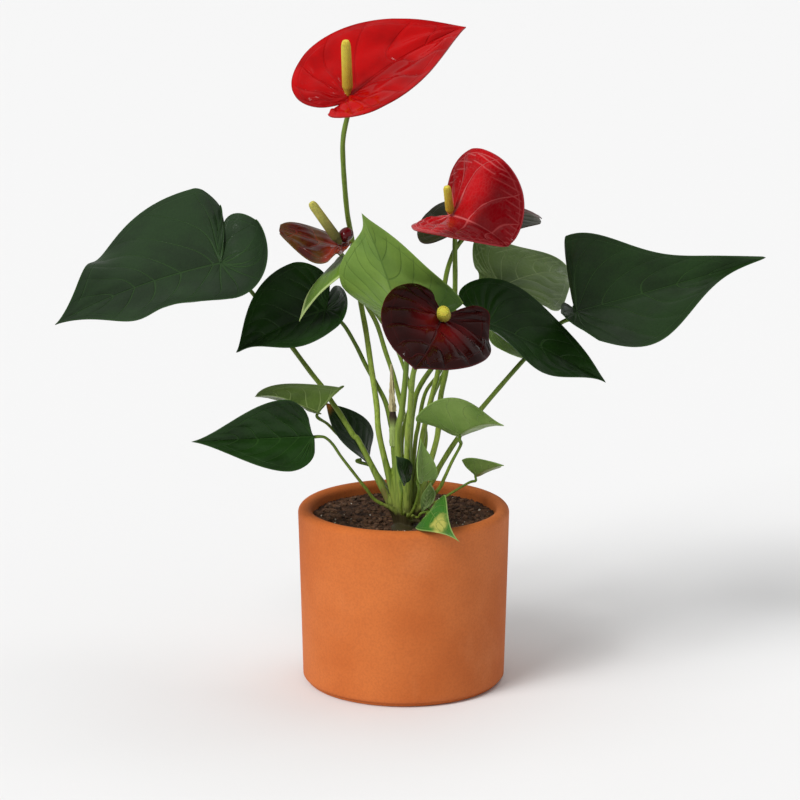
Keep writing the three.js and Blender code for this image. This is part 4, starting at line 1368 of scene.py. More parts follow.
    def lines(self, shader: Shader) -> tuple[Socket, Socket, Socket]:
        """Draw the veins in a shader.

        Args:
            shader: the shader.

        Returns:
            The veins' strength, the distance to the margin in millimetres, and the place along
            the blade.
        """
        veins = self.finish.veins
        s, y, _ = shader.split(shader.node("ShaderNodeUVMap").outputs["UV"])
        t = shader.times(shader.apart(y, 0.5), 2)
        spread, reach, half = shader.split(shader.attribute("blade_scale"))
        along, count, out = shader.split(shader.attribute("blade_run"))
        strip = shader.math("FLOOR", count)
        apart = shader.apart(shader.math("SUBTRACT", count, strip), 0.5)
        apart = shader.times(shader.math("DIVIDE", apart, veins.count), spread)
        slim = shader.times(shader.band(t, 0, 1, (1, 0.35)), veins.width)
        side = shader.band(shader.math("DIVIDE", apart, slim), 1, 0.25)
        to_rim = shader.times(shader.math("SUBTRACT", 1, t), reach)
        if veins.cross:
            rung = shader.math("DIVIDE", out, veins.cross)
            rung = shader.math("ADD", rung, shader.times(strip, CROSS_STAGGER))
            off = shader.apart(shader.math("FRACT", rung), 0.5)
            rungs = shader.band(shader.times(off, veins.cross), 0.8, 0.1, (0, 0.7))
            rungs = shader.times(rungs, shader.band(to_rim, self.cross_far, self.cross_near))
            side = shader.math("MAXIMUM", side, rungs)
        side = shader.times(side, shader.band(to_rim, 0.5, veins.rim))
        thick = shader.times(shader.band(s, 0.45, 1, (1.3, 0.4)), veins.width)
        middle = shader.band(shader.math("DIVIDE", shader.times(t, half), thick), 1, 0.4)
        middle = shader.times(middle, shader.band(reach, 2, 6))
        around = shader.apart(to_rim, veins.rim)
        around = shader.band(around, 0.45 * veins.width, 0.1, (0, 0.6))
        around = shader.times(around, shader.band(reach, 2 * veins.rim, 3 * veins.rim))
        every = shader.math("MAXIMUM", shader.math("MAXIMUM", side, middle), around)
        return every, to_rim, along

    def face(self, upper: bool) -> bpy.types.Material:
        """Make the material of one face.

        Args:
            upper: whether it is the upper face.

        Returns:
            The material.
        """
        finish, kind = self.finish, self.blade.finish
        shader = Shader(f"{self.blade.name}_{'top' if upper else 'under'}")
        veins, to_rim, along = self.lines(shader)
        cloud = shader.band(shader.noise(38, 4), 0.35, 0.7)
        ground = tone(finish.top if upper else finish.under)
        deep = tone(finish.shade) if upper else tuple(c * 0.72 for c in ground)
        line = tone(finish.line if upper else finish.under_line)
        skin = shader.mix(shader.times(cloud, 0.8), ground, deep)
        skin = self.patches(shader, skin, along, upper)
        net = shader.cells(330)
        fine = shader.band(net, 0.12, 0.0)
        if kind is Tissue.CRIMSON:
            faded = shader.band(along, 0.5, 0.2, (0.2, 1))
            veins, fine = shader.times(veins, faded), shader.times(fine, faded)
        skin = shader.mix(shader.times(fine, 0.18 * min(finish.show, 0.3)), skin, line)
        skin = shader.mix(shader.times(veins, finish.show), skin, line)
        skin = shader.tint(skin, finish.edge, to_rim, 0.9, 0.2, 0.5)
        if kind is Tissue.YOUNG:
            skin = shader.tint(skin, finish.edge, to_rim, 2.6, 0.8, 0.75)
        elif kind is Tissue.BRONZE:
            reach = shader.split(shader.attribute("blade_scale"))[1]
            skin = shader.tint(skin, "4e080e", reach, 0.5, 0.1)
        pressed = shader.bump(veins, -VEIN_PRESS if upper else VEIN_PRESS)
        pressed = shader.bump(net, finish.net * 2.5, pressed)
        pressed = shader.bump(shader.noise(500, 2), finish.net * 0.4, pressed)
        rough = shader.band(shader.noise(90, 3), 0.3, 0.75, (finish.rough * 0.85, finish.rough * 1.25))
        if not upper:
            rough = shader.math("ADD", rough, 0.15)
        shader.set(Base_Color=skin, Roughness=rough, Normal=pressed, Specular_IOR_Level=finish.gloss)
        shader.set(Coat_Weight=finish.coat if upper else 0.02, Coat_Roughness=0.12, Coat_Normal=pressed)
        return shader.material

    def patches(self, shader: Shader, skin: Socket, along: Socket, upper: bool) -> Socket:
        """Add the colour patches that some blades have, and a painted sheen on the two far leaves.

        Args:
            shader: the shader.
            skin: its colour so far.
            along: the place along the blade.
            upper: whether it is the upper face.

        Returns:
            The colour with the patches and the painted sheen.
        """
        kind = self.blade.finish
        if kind is Tissue.VARIEGATED:
            spot = shader.vector("DISTANCE", shader.place, PALE_SPOT)
            ragged = shader.times(shader.math("SUBTRACT", shader.noise(150, 3), 0.5), 0.012)
            off = shader.math("ADD", spot.outputs["Value"], ragged)
            skin = shader.tint(skin, "b4ad56", off, 0.009, 0.004, 0.85)
        elif kind is Tissue.BURGUNDY and upper:
            out = shader.split(shader.attribute("blade_run"))[2]
            glow = shader.times(shader.band(along, 0.6, 0.2, (0, 0.42)), shader.band(out, 30, 6))
            glow = shader.times(glow, shader.band(along, -0.08, 0.06))
            skin = shader.mix(glow, skin, tone("7d1216"))
        elif kind is Tissue.BRONZE:
            skin = shader.tint(skin, "5e5222", shader.noise(70, 3), 0.42, 0.62, 0.35)
            skin = shader.tint(skin, "8a2a14", along, 0.3, 0.05, 0.85)
        elif kind is Tissue.YOUNG:
            skin = shader.tint(skin, "b6cf86", along, 0.7, 1.0, 0.5)
        elif kind is Tissue.CRIMSON and upper:
            skin = shader.tint(skin, "5c0308", along, 0.2, 0.5, 0.95)
        elif kind is Tissue.PLUM:
            skin = shader.tint(skin, "6b3f3c", along, 0.45, 0.8, 0.8)
        elif kind is Tissue.PALE_UNDER:
            right = shader.split(shader.place)[0]
            skin = shader.tint(skin, "36551f", right, 0.008, 0.028, 0.85)
        # Painted sheen: the far left leaf is mixed toward a grey, on both faces, to stand in for a soft
        # grey sheen.
        if self.blade.name == "far_left":
            skin = shader.mix(0.35, skin, tone("333a33"))
        # Painted sheen: the far right leaf is mixed toward a dark grey-green, on both faces, to stand in
        # for the grey of a sheen.
        elif self.blade.name == "far_right":
            skin = shader.mix(0.3, skin, tone("1c211a"))
        elif self.blade.name == "inner_left":
            skin = shader.tint(skin, "b8742e", along, 0.8, 0.97)
        return skin

    def rim(self) -> bpy.types.Material:
        """Make the material of the cut edge of the sheet.

        Returns:
            The material.
        """
        shader = Shader(f"{self.blade.name}_rim")
        edge = tone(self.finish.edge)
        shade = shader.band(shader.noise(120, 2), 0.3, 0.7)
        shader.set(Base_Color=shader.mix(shade, edge, tuple(c * 0.7 for c in edge)), Roughness=0.5)
        return shader.material


@dataclass(frozen=True)
class StemFinish:
    """Colours of a stem, from the crown to its blade."""

    low: str
    high: str
    streak: str
    blush: str
    slot: str


LEAF_STEM = StemFinish("7f9438", "5a7322", "3d551c", "544722", "leaf_stem")
FLOWER_STEM = StemFinish("8a9e40", "6a822c", "48611f", "60502a", "flower_stem")


def stem_material(name: str, finish: StemFinish, low: float, high: float) -> bpy.types.Material:
    """Make a stem's material: long streaks, paler to the crown, with a satin skin.

    Args:
        name: the material's name.
        finish: its colours.
        low: height of the stem's foot, in millimetres.
        high: height of its top.

    Returns:
        The material.
    """
    shader = Shader(name)
    height = shader.split(shader.place)[2]
    skin = shader.tint(tone(finish.low), finish.high, height, low * MM, high * MM)
    streak = shader.noise(900, 3, (1, 1, 0.04))
    skin = shader.tint(skin, finish.streak, streak, 0.45, 0.7, 0.5)
    skin = shader.tint(skin, finish.blush, shader.noise(55, 3), 0.55, 0.75, 0.35)
    ridges = shader.bump(streak, 0.12)
    shader.set(Base_Color=skin, Roughness=0.42, Normal=ridges, Specular_IOR_Level=0.3)
    return shader.material


# The middle of the crown at the soil, in millimetres, and how deep the root plug goes.
CROWN = np.array([2.0, -20.0, 111.0])
ROOT_DEPTH = 14.0
# The gap between two seated solids, how far a stem's top runs straight, and the thickness of
# the blades' solids, in millimetres.
SEAT_GAP = 0.3
STRAIGHT_TOP = 3.2
SOLID_LEAF, SOLID_SPATHE = 0.9, 1.1


@dataclass
class StemPiece:
    """Models and dresses a stem, and gives the way of its sheath.

    Attributes:
        start: the first points, under the blade.
        via: the stem's other points.
        radii: its radius at the top and at the foot.
        hidden: how much of its way in the crown the stem runs on inside the sheath.
        lip: how much thinner than the stem's foot the sheath's upper end is, in millimetres.
        flare: how much thicker the sheath gets below, in millimetres.
    """

    start: np.ndarray
    via: tuple[Triple, ...]
    radii: Pair
    hidden: float = 0.16
    lip: float = 0.45
    flare: float = 1.1

    def __post_init__(self) -> None:
        """Lay the way from the blade, through the stem's foot, into the root."""
        stops = np.vstack([self.start.reshape(-1, 3), np.array(self.via, float)])
        foot = stops[-1]
        away = np.array([foot[0] - CROWN[0], foot[1] - CROWN[1], 0.0])
        span = float(np.linalg.norm(away))
        away /= span
        neck = CROWN + away * min(0.32 * span, 9)
        neck[2] = min(CROWN[2] + 8, foot[2] - 3)
        root = CROWN + away * min(0.2 * span, 7)
        root[2] = CROWN[2] - 0.6 * ROOT_DEPTH
        self.route = Route(np.vstack([stops, neck, root]))
        self.seat = (len(stops) - 1) / (len(stops) + 1)
        self.stretches = len(stops) - 1
        self.foot = foot

    def build(self, node: str, finish: StemFinish, swell: float, ring: bool = False) -> None:
        """Model the stem.

        Args:
            node: the solid it stands for.
            finish: its colours.
            swell: how much thicker it is just under the blade.
            ring: whether an old scar rings it half-way.
        """
        end = self.seat + self.hidden * (1 - self.seat)
        points = self.route.points(0, end, 14 * self.stretches + 4)
        part = shares(points)
        radii = self.radii[0] + (self.radii[1] - self.radii[0]) * part
        length = float(np.sum(np.linalg.norm(np.diff(points, axis=0), axis=1)))
        down = part * length
        radii = radii * (1 + swell * np.exp(-(((down - 5) / 5) ** 2)))
        radii = radii * (1 + 0.025 * np.sin(down * 0.35))
        if ring:
            radii = radii + 0.5 * np.exp(-(((down - 0.62 * length) / 1.2) ** 2))
        piece = rod(points, radii)
        smooth(piece, 60)
        low, high = float(points[-1, 2]), float(points[0, 2])
        name = f"{node}_fine"
        hand_over(piece, name, finish.slot, (node,), stem_material(name, finish, low, high))

    def sheath(self) -> bpy.types.Object:
        """Model the sheath that the stem stands in, as a plain rod for the crown.

        Returns:
            The sheath.
        """
        length = np.linalg.norm(self.foot - CROWN)
        points = self.route.points(self.seat + SEAT_GAP / length * (1 - self.seat) / 2, 1, 24)
        widening = np.minimum(shares(points) / 0.4, 1)
        return rod(points, self.radii[1] - self.lip + self.flare * widening)


def under_blade(surface: BladeSurface, thickness: float) -> np.ndarray:
    """Give the first two points of a stem, square to the underside of its blade.

    Args:
        surface: the blade's middle surface.
        thickness: of the blade's solid, in millimetres.

    Returns:
        The two points.
    """
    up = surface.normal_at_base()
    clear = thickness / 2 + SEAT_GAP + surface.blade.drop
    return np.array([surface.base - up * (clear + down) for down in (0, STRAIGHT_TOP)])


# ---- Spadices


@dataclass
class SpadixPiece:
    """Models a spadix as a core with its florets set round it in rows.

    Attributes:
        spadix: its shape and colours.
        surface: its spathe's middle surface.
        node: the solid it stands for.
        clear: how far it stands off the spathe, besides what its tilt needs, in millimetres.
        inset: how far the core lies under the florets, in millimetres.
        sunk: how far a floret's middle lies under the spadix's skin, in millimetres.
        pitch: the florets' spacing where the spadix's radius is 1 mm, in millimetres. It grows
            with the root of the radius.
    """

    spadix: Spadix
    surface: BladeSurface
    node: str
    clear: float = 0.2
    inset: float = 0.28
    sunk: float = 0.3
    pitch: float = 0.5184

    def __post_init__(self) -> None:
        """Place the spadix on its spathe's base."""
        self.aim = unit(np.array(self.spadix.aim, float))
        up = self.surface.normal_at_base()
        tilt = 1.3 * float(np.linalg.norm(np.cross(self.aim, up)))
        self.foot = self.surface.base + up * (SOLID_SPATHE / 2 + SEAT_GAP + self.clear + tilt)
        side = unit(np.cross(self.aim, np.array([0.0, 1.0, 0.3])))
        self.sides = (side, np.cross(self.aim, side))

    def width(self, share: np.ndarray) -> np.ndarray:
        """Give the spadix's radius at shares of its length.

        Args:
            share: shares of its length.

        Returns:
            The radii, in millimetres.
        """
        neck = np.clip(0.35 + 4 * share, 0, 1)
        dome = np.sqrt(np.maximum(0, 1 - np.maximum(0, (share - 0.86) / 0.15) ** 2))
        return self.spadix.radius * neck * (1 - 0.14 * share) * dome

    def build(self) -> None:
        """Model the core, set the florets and join them."""
        share = np.linspace(0, 0.985, 60)
        points = self.foot + self.aim * (share * self.spadix.length)[:, None]
        core = rod(points, np.maximum(self.width(share) - self.inset, 0.15), 5)
        core.data.materials.clear()
        piece = joined([core, self.florets()])
        smooth(piece, 60)
        name = f"{self.node}_fine"
        slot = "spadix_yellow" if self.spadix.ripe else "spadix_olive"
        hand_over(piece, name, slot, (self.node,), self.material(name))

    def florets(self) -> bpy.types.Object:
        """Set the florets in rows from the foot to the tip, each row half a floret on.

        Returns:
            The florets, as one object.
        """
        spadix = self.spadix
        pitch = self.pitch * spadix.radius**0.5
        rows = int(spadix.length * 0.97 / (pitch * 0.62))
        around = max(9, int(2 * math.pi * spadix.radius / (pitch * 1.25)))
        beads = Beads(pitch * 0.66)
        for row in range(rows):
            share = 0.04 + 0.945 * row / rows
            radius = float(self.width(np.array(share)))
            count = max(3, round(around * radius / spadix.radius))
            for k in range(count):
                angle = 2 * math.pi * (k + 0.5 * (row % 2)) / count + 0.06 * row
                out = self.sides[0] * math.cos(angle) + self.sides[1] * math.sin(angle)
                squash = np.array([np.cross(self.aim, out) * 0.98, self.aim * 0.8, out * 0.8])
                middle = self.foot + self.aim * spadix.length * share + out * (radius - self.sunk)
                beads.copies.append(beads.ball @ squash + middle)
        return beads.strung()

    def material(self, name: str) -> bpy.types.Material:
        """Make the spadix's material, coloured from the foot to the tip, with painted shade between the
        florets.

        Args:
            name: the material's name.

        Returns:
            The material.
        """
        shader, spadix = Shader(name), self.spadix
        # The first colour of each pair is the speckle; the second is painted shade for the hollows
        # between the florets.
        speckle, hollow = ("a8862c", "85701a") if spadix.ripe else ("57582c", "3c3c1c")
        away = shader.vector("SUBTRACT", shader.place, tuple(self.foot * MM)).outputs[0]
        up = shader.vector("DOT_PRODUCT", away, tuple(self.aim)).outputs["Value"]
        part = shader.math("DIVIDE", up, spadix.length * MM)
        skin = shader.tint(tone(spadix.foot), spadix.tip, part, 0.1, 0.9)
        speck = shader.band(shader.noise(1100, 2), 0.42, 0.68)
        skin = shader.mix(shader.times(speck, 0.4), skin, tone(speckle))
        along = shader.vector("SCALE", tuple(self.aim))
        shader.feed(along.inputs["Scale"], up)
        # Painted shade: where the surface lies inside the spadix's skin, on the core and the florets'
        # sides between them, it is darkened, less so at the foot and the tip.
        apart = shader.vector("DISTANCE", away, along.outputs[0]).outputs["Value"]
        girth = shader.band(part, 0, 1, (spadix.radius * MM, 0.86 * spadix.radius * MM))
        valley = shader.band(shader.math("DIVIDE", apart, girth), 1.06, 0.9, (0, 0.5))
        ends = shader.times(shader.band(part, 0.02, 0.14), shader.band(part, 0.96, 0.86))
        skin = shader.mix(shader.times(valley, ends), skin, tone(hollow))
        shader.set(Base_Color=skin, Roughness=0.6, Normal=shader.bump(shader.noise(2500, 2), 0.05))
        shader.set(Subsurface_Weight=0.1, Subsurface_Scale=0.002)
        return shader.material


# ---- Pot, soil, crown and the old stalk


@dataclass
class Pot:
    """The clay pot, in millimetres.

    The profiles are (radius, height) of the small foot, above the floor that the pot stands on,
    and of the hollow's rounded bottom, above its own floor. The wobble is how far the wall
    strays from round, and it is held in by a little more, so that it stays within the solid.
    """

    rim: float = 70.0
    foot: float = 67.3
    height: float = 119.0
    lip: float = 4.5
    bore: float = 61.0
    bore_low: float = 58.0
    floor: float = 8.0
    wobble: float = 0.12
    held_in: float = 0.14
    foot_profile: tuple[Pair, ...] = (
        (2, 0), (61, 0), (63.6, 0.15), (64.5, 0.6), (64.8, 1.3), (64.8, 2.6),
        (65.1, 3), (66.3, 3.05), (66.95, 3.3), (67.25, 3.8),
    )
    bottom_profile: tuple[Pair, ...] = ((57.4, 1.6), (55.5, 0.3), (52, 0), (2, 0))

    def build(self) -> None:
        """Turn the pot, with its rounded lip and small foot, and dress it."""
        top = self.height - self.lip
        middle, half = (self.rim + self.bore) / 2, (self.rim - self.bore) / 2
        profile = list(self.foot_profile)
        for z in np.linspace(6, top - 2, 16):
            profile.append((self.foot + (self.rim - self.foot) * (z - 3) / (top - 3), float(z)))
        for turn in np.linspace(0, math.pi, 17):
            profile.append((middle + half * math.cos(turn), top + self.lip * math.sin(turn)))
        for z in np.linspace(top - 3, self.floor + 4, 10):
            share = (z - self.floor - 3) / (top - self.floor - 3)
            profile.append((self.bore_low + (self.bore - self.bore_low) * share, float(z)))
        profile += [(radius, self.floor + rise) for radius, rise in self.bottom_profile]
        piece = rings(profile, 160)
        points = places(piece)
        angle = np.arctan2(points[:, 1], points[:, 0])
        radius = np.hypot(points[:, 0], points[:, 1])
        wobble = self.wobble * np.sin(3 * angle + points[:, 2] / 40) - self.held_in
        outer = np.clip((radius - 60) / 5, 0, 1) * np.clip(points[:, 2] / 6, 0, 1)
        points[:, :2] *= (1 + wobble * outer / np.maximum(radius, 1))[:, None]
        put(piece, points)
        smooth(piece, 35)
        hand_over(piece, "pot_fine", "terracotta", ("pot",), self.clay())

    def clay(self) -> bpy.types.Material:
        """Make the unglazed clay: soft clouds, turning lines, pores and a paler bloom.

        Returns:
            The material.
        """
        shader = Shader("terracotta")
        cloud = shader.band(shader.noise(14, 5), 0.3, 0.7)
        skin = shader.mix(cloud, tone("ce7133"), tone("bf632a"))
        skin = shader.tint(skin, "d88550", shader.noise(26, 6, (1, 1, 0.6)), 0.56, 0.78, 0.4)
        skin = shader.tint(skin, "9a4a22", shader.noise(700, 3), 0.35, 0.7, 0.22)
        pores = shader.band(shader.cells(1500, "F1"), 0.28, 0.1)
        height = shader.bump(shader.noise(420, 2, (0.02, 0.02, 1)), 0.05)
        height = shader.bump(shader.noise(900, 4), 0.07, height)
        height = shader.bump(pores, -0.06, height)
        rough = shader.band(cloud, 0, 1, (0.78, 0.9))
        shader.set(Base_Color=skin, Roughness=rough, Normal=height)
        return shader.material


@dataclass(frozen=True)
class Grit:
    """One kind of bit that lies on the soil.

    Attributes:
        name: the piece's name.
        count: how many bits.
        sizes: least and greatest radius, in millimetres.
        shape: how a bit is stretched.
        tones: two colours that the bits lie between.
    """

    name: str
    count: int
    sizes: Pair
    shape: Triple
    tones: tuple[str, str]


GRITS = (
    Grit("soil_crumbs", 620, (0.6, 2.2), (1, 1, 0.75), ("3d2c22", "6c503c")),
    Grit("soil_perlite", 44, (0.4, 0.9), (1, 0.9, 0.8), ("b9b2a2", "dcd6c8")),
    Grit("soil_fibres", 90, (0.35, 0.6), (6, 1, 0.7), ("6a4a30", "8a6a48")),
)


@dataclass
class Soil:
    """The potting soil with its grit, in millimetres.

    Attributes:
        top: height of the soil.
        edge: its radius at the pot's wall.
        low: height of its underside.
        wall: how far the surface's edge is drawn down, first straight and then narrowing.
        narrowing: the underside's share of the surface's radius.
        spread: half the square in which the grit's places are drawn.
        grit_edge: how far out the grit lies at most.
        grit_inner: how near to the crown's middle it lies at least.
    """

    top: float = 111.0
    edge: float = 60.5
    low: float = 8.35
    wall: Pair = (4, 94)
    narrowing: float = 0.955
    spread: float = 57
    grit_edge: float = 59
    grit_inner: float = 14.5

    def height(self, x: np.ndarray, y: np.ndarray) -> np.ndarray:
        """Give the height of the soil's surface.

        Args:
            x: places across.
            y: places in depth.

        Returns:
            The heights, in millimetres.
        """
        lump = np.sin(0.37 * x + 1.1) * np.sin(0.43 * y + 0.4) + 0.5 * np.sin(0.9 * x - 0.7 * y)
        fine = np.sin(1.9 * x + 0.7 * y) * np.sin(2.3 * y - 0.4 * x) + np.sin(3.7 * x) * np.sin(4.1 * y)
        away = np.hypot(x - CROWN[0], y - CROWN[1])
        return self.top + 0.45 * lump + 0.35 * fine - 2.2 * np.exp(-(((away - 11) / 5) ** 2))

    def build(self) -> None:
        """Model the soil as a lumpy disc drawn down into the pot, and scatter its grit."""
        piece = added(
            bpy.ops.mesh.primitive_grid_add, x_subdivisions=130, y_subdivisions=130, size=2
        )
        flat = places(piece) * MM
        x, y = flat[:, 0], flat[:, 1]
        disc_x, disc_y = x * np.sqrt(1 - y * y / 2), y * np.sqrt(1 - x * x / 2)
        disc_x, disc_y = disc_x * (self.edge - 0.3), disc_y * (self.edge - 0.3)
        draw = np.random.default_rng(SEED)
        rough = draw.normal(0, 0.28, len(x))
        put(piece, np.column_stack([disc_x, disc_y, self.height(disc_x, disc_y) + rough]))
        with editing(piece):
            bpy.ops.mesh.select_mode(type="EDGE")
            bpy.ops.mesh.select_all(action="DESELECT")
            bpy.ops.mesh.select_non_manifold()
            for drop in self.wall:
                down = {"value": (0, 0, -drop * MM)}
                bpy.ops.mesh.extrude_region_move(TRANSFORM_OT_translate=down)
            bpy.ops.transform.resize(
                value=(self.narrowing, self.narrowing, 0), center_override=(0, 0, self.low * MM)
            )
            bpy.ops.mesh.edge_face_add()
            bpy.ops.mesh.select_all(action="SELECT")
            bpy.ops.mesh.normals_make_consistent(inside=False)
        smooth(piece, 70)
        hand_over(piece, "soil_fine", "soil", ("soil",), self.mix())
        for grit in GRITS:
            self.scatter(grit, draw)

    def scatter(self, grit: Grit, draw: np.random.Generator) -> None:
        """Scatter one kind of grit over the soil as one mesh.

        Args:
            grit: the kind.
            draw: the random numbers.
        """
        beads = Beads(1)
        while len(beads.copies) < grit.count:
            x, y = draw.uniform(-self.spread, self.spread, 2)
            size = draw.uniform(*grit.sizes)
            past_edge = math.hypot(x, y) > self.grit_edge - 2 * size
            if past_edge or math.hypot(x - CROWN[0], y - CROWN[1]) < self.grit_inner:
                continue
            rough = 1 + draw.normal(0, 0.16, (len(beads.ball), 1))
            bit = beads.ball * rough * np.array(grit.shape) * size
            bit = turn_about(bit, UPRIGHT[None, :], draw.uniform(0, math.tau))
            axis = unit(draw.normal(size=3) * (1, 1, 0.2))[None, :]
            bit = turn_about(bit, axis, draw.uniform(-0.5, 0.5))
            z = float(self.height(np.array(x), np.array(y))) + size * 0.25
            beads.copies.append(bit + (x, y, z))
        piece = beads.strung()
        smooth(piece, 30)
        shader = Shader(grit.name)
        skin = shader.tint(tone(grit.tones[0]), grit.tones[1], shader.noise(240, 2), 0.35, 0.65)
        height = shader.bump(shader.noise(1500, 3), 0.2)
        shader.set(Base_Color=skin, Roughness=0.9, Normal=height)
        hand_over(piece, grit.name, "soil", (), shader.material)

    def mix(self) -> bpy.types.Material:
        """Make the soil's own material.

        Returns:
            The material.
        """
        shader = Shader("soil")
        skin = shader.tint(tone("372821"), "6a4c38", shader.noise(160, 5), 0.35, 0.65)
        skin = shader.tint(skin, "7a5c40", shader.noise(520, 3), 0.62, 0.72, 0.5)
        height = shader.bump(shader.noise(420, 5), 1.4)
        height = shader.bump(shader.noise(1500, 3), 0.4, height)
        shader.set(Base_Color=skin, Roughness=0.95, Normal=height)
        return shader.material


@dataclass
class Crown:
    """The sheaths and the root plug, grown together.

    Attributes:
        plug: half the plug's width, depth and height, in millimetres.
        sunk: how far the plug's middle lies under the soil, in millimetres.
        grain: size of the grid that they are fused on, in millimetres.
        sheaths: the sheaths so far.
    """

    plug: Triple = (12.6, 12.6, 8.6)
    sunk: float = 6.5
    grain: float = 0.55
    sheaths: list[bpy.types.Object] = field(default_factory=list)

    def build(self) -> None:
        """Fuse the sheaths with the root plug, smooth the joints and dress them."""
        centre = CROWN - (0, 0, self.sunk)
        plug = added(
            bpy.ops.mesh.primitive_uv_sphere_add, segments=32, ring_count=16, radius=1,
            location=tuple(centre * MM),
        )
        bpy.ops.object.transform_apply(location=True)
        put(plug, (places(plug) - centre) * MM * np.array(self.plug) + centre)
        piece = joined([plug, *self.sheaths])
        apply_modifier(piece, "REMESH", mode="VOXEL", voxel_size=self.grain * MM)
        apply_modifier(piece, "SMOOTH", factor=0.5, iterations=2)
        smooth(piece, 60)
        hand_over(piece, "crown_fine", "crown", ("crown",), self.skin())

    def skin(self) -> bpy.types.Material:
        """Make the sheaths' skin: pale green above, brown and fibrous at the soil.

        Returns:
            The material.
        """
        shader = Shader("crown")
        streak = shader.noise(700, 3, (1, 1, 0.05))
        wander = shader.times(shader.math("SUBTRACT", shader.noise(120, 3), 0.5), 0.02)
        height = shader.math("ADD", shader.split(shader.place)[2], wander)
        skin = shader.tint(tone("8b9846"), "7a9036", height, 0.118, 0.15)
        skin = shader.tint(skin, "3f561f", streak, 0.45, 0.7, 0.6)
        scale = shader.band(shader.noise(110, 4, (1, 1, 0.5)), 0.55, 0.66, (0, 0.75))
        scale = shader.times(scale, shader.band(height, 0.148, 0.13))
        skin = shader.mix(scale, skin, tone("6b5233"))
        skin = shader.tint(skin, "2f2418", height, 0.127, 0.1165, 0.95)
        ridges = shader.bump(streak, 0.25)
        shader.set(Base_Color=skin, Roughness=0.5, Normal=ridges, Specular_IOR_Level=0.3)
        return shader.material


@dataclass
class OldStalk:
    """The stub of an old stem and the dry sheath on it, in millimetres.

    Attributes:
        way: the stub's points, from its cut to the crown.
        radii: its radius at the cut and at the foot.
        husk_way: the dry sheath's points, from its tip down.
        husk_radii: its radius at the tip and at the mouth.
    """

    way: tuple[Triple, ...] = ((-7.1, -16.5, 186), (-6.7, -17.5, 178), (-6, -19, 164))
    radii: Pair = (2.1, 3.1)
    husk_way: tuple[Triple, ...] = ((-8, -15, 217.5), (-7.7, -15.4, 203), (-7.15, -16.45, 186.4))
    husk_radii: Pair = (0.5, 2.5)

    def build(self, crown: Crown) -> None:
        """Model both, and give the crown the stub's sheath.

        Args:
            crown: the crown, which takes the stub's sheath.
        """
        stub = StemPiece(np.array([]), self.way, self.radii)
        points = stub.route.points(0, stub.seat, 40)
        part = shares(points)
        radii = self.radii[0] + (self.radii[1] - self.radii[0]) * part
        piece = rod(points, radii + 0.35 * np.sin(part * 9) ** 8, 4)
        smooth(piece, 60)
        shader = Shader("old_stalk")
        height = shader.split(shader.place)[2]
        skin = shader.tint(tone("8fa35a"), "2c1d12", height, 0.174, 0.184)
        streak = shader.noise(900, 3, (1, 1, 0.06))
        skin = shader.tint(skin, "4d4a24", streak, 0.45, 0.7, 0.5)
        shader.set(Base_Color=skin, Roughness=0.7, Normal=shader.bump(streak, 0.3))
        hand_over(piece, "old_stalk_fine", "leaf_stem", ("old_stalk",), shader.material)
        crown.sheaths.append(stub.sheath())
        self.husk()

    def husk(self) -> None:
        """Model the dry sheath, crumpled along its length."""
        points = Route(np.array(self.husk_way)).points(0, 1, 60)
        tip, mouth = self.husk_radii
        piece = rod(points, tip + (mouth - tip) * shares(points) ** 0.8, 5)
        spots = places(piece)
        centre = points[np.argmin(np.abs(spots[:, None, 2] - points[None, :, 2]), axis=1)]
        arm, z = spots - centre, spots[:, 2]
        angle = np.arctan2(arm[:, 1], arm[:, 0])
        crease = 1 + 0.22 * np.sin(5 * angle + z * 0.25) + 0.1 * np.sin(z * 1.3 + 2 * angle)
        put(piece, centre + arm * crease[:, None] * 0.9)
        smooth(piece, 50)
        shader = Shader("husk")
        streak = shader.noise(1100, 3, (1, 1, 0.07))
        skin = shader.tint(tone("bdb48a"), "8c7d54", streak, 0.35, 0.7)
        skin = shader.tint(skin, "6e5638", shader.noise(180, 2), 0.55, 0.7, 0.6)
        shader.set(Base_Color=skin, Roughness=0.85, Normal=shader.bump(streak, 0.3))
        hand_over(piece, "old_stalk_husk_fine", "husk", ("old_stalk_husk",), shader.material)


# ---- Studio


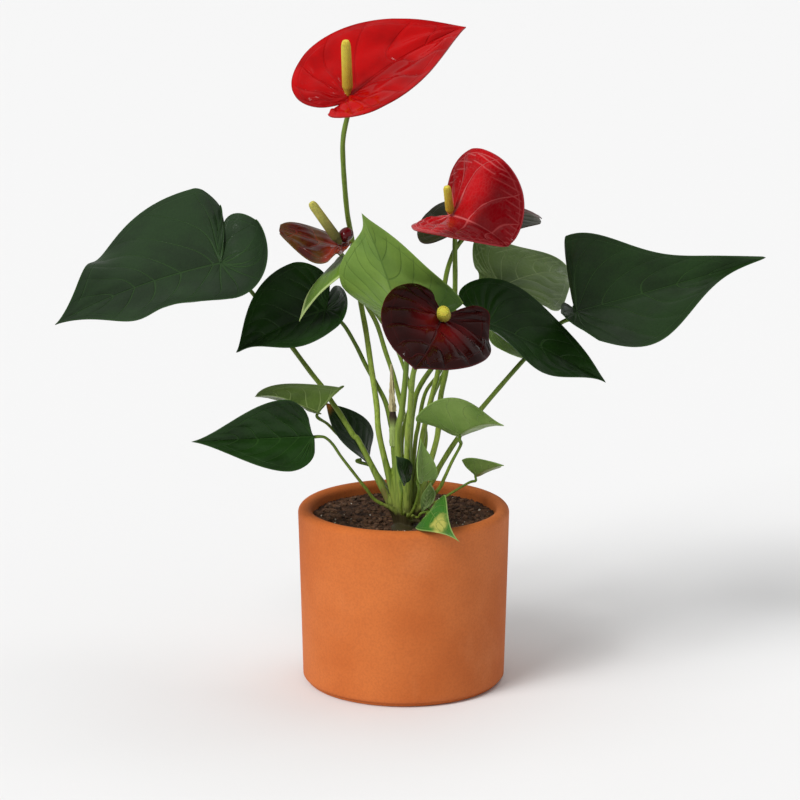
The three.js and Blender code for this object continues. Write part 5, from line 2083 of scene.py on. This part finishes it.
@dataclass
class Studio:
    """Camera, floor and lights."""

    tilt: float = 13.26
    distance: float = 2.0
    aim: Triple = (-0.00237, 0.0, 0.19)
    lens: float = 137.1

    def build(self) -> None:
        """Set the camera, the pale floor and the soft lights."""
        angle = math.radians(self.tilt)
        back = Vector((0, -math.cos(angle), math.sin(angle))) * self.distance
        camera = bpy.data.objects.new("camera", bpy.data.cameras.new("camera"))
        bpy.context.collection.objects.link(camera)
        camera.data.lens = self.lens
        camera.data.sensor_width = 36
        camera.location = Vector(self.aim) + back
        camera.rotation_euler = (math.pi / 2 - angle, 0, 0)
        bpy.context.scene.camera = camera
        floor = added(bpy.ops.mesh.primitive_plane_add, size=40, location=(0, 0, 0))
        floor.name = "floor"
        shader = Shader("floor")
        shader.set(Base_Color=(0.8, 0.8, 0.8), Roughness=0.95, Specular_IOR_Level=0.1)
        floor.data.materials.append(shader.material)
        world = bpy.data.worlds.new("studio")
        bpy.context.scene.world = world
        world.use_nodes = True
        world.node_tree.nodes["Background"].inputs["Color"].default_value = (1, 1, 1, 1)
        world.node_tree.nodes["Background"].inputs["Strength"].default_value = 0.42
        bpy.context.scene.view_settings.view_transform = "Standard"
        self.lamp("key", (-1.0, -0.95, 1.3), 30, 2.15, False)
        self.lamp("glint", (-1.0, -0.95, 1.3), 9, 0.35)
        self.lamp("top", (0.4, 0.3, 1.6), 45, 0.7, False)

    def lamp(self, name: str, place: Triple, spread: float, power: float, mirrored: bool = True) -> None:
        """Set a soft far light.

        Args:
            name: the light's name.
            place: which way it stands from the plant.
            spread: how wide it looks from the plant, in degrees.
            power: its strength.
            mirrored: whether glossy surfaces show it.
        """
        light = bpy.data.lights.new(name, "SUN")
        light.angle, light.energy = math.radians(spread), power
        lamp = bpy.data.objects.new(name, light)
        bpy.context.collection.objects.link(lamp)
        lamp.location = place
        lamp.visible_glossy = mirrored
        lamp.rotation_euler = (-Vector(place)).to_track_quat("-Z", "Y").to_euler()


def main() -> None:
    """Build the plant piece by piece, then the studio."""
    logging.basicConfig(level=logging.INFO, format="%(message)s")
    LOG.info("view transform %s", bpy.context.scene.view_settings.view_transform)
    Pot().build()
    Soil().build()
    crown = Crown()
    for leaf in LEAVES:
        blade = BladePiece(leaf, f"leaf_{leaf.name}_blade")
        blade.build()
        stem = StemPiece(under_blade(blade.surface, SOLID_LEAF), leaf.via, leaf.radii)
        stem.build(f"leaf_{leaf.name}_stem", LEAF_STEM, 0.22, leaf.name == "far_right")
        crown.sheaths.append(stem.sheath())
    for flower in FLOWERS:
        spathe = BladePiece(flower, f"flower_{flower.name}_spathe")
        spathe.build()
        SpadixPiece(SPADICES[flower.name], spathe.surface, f"flower_{flower.name}_spadix").build()
        stem = StemPiece(under_blade(spathe.surface, SOLID_SPATHE), flower.via, flower.radii)
        stem.build(f"flower_{flower.name}_stem", FLOWER_STEM, 0.1)
        crown.sheaths.append(stem.sheath())
    OldStalk().build(crown)
    crown.build()
    Studio().build()


if __name__ == "__main__":
    main()
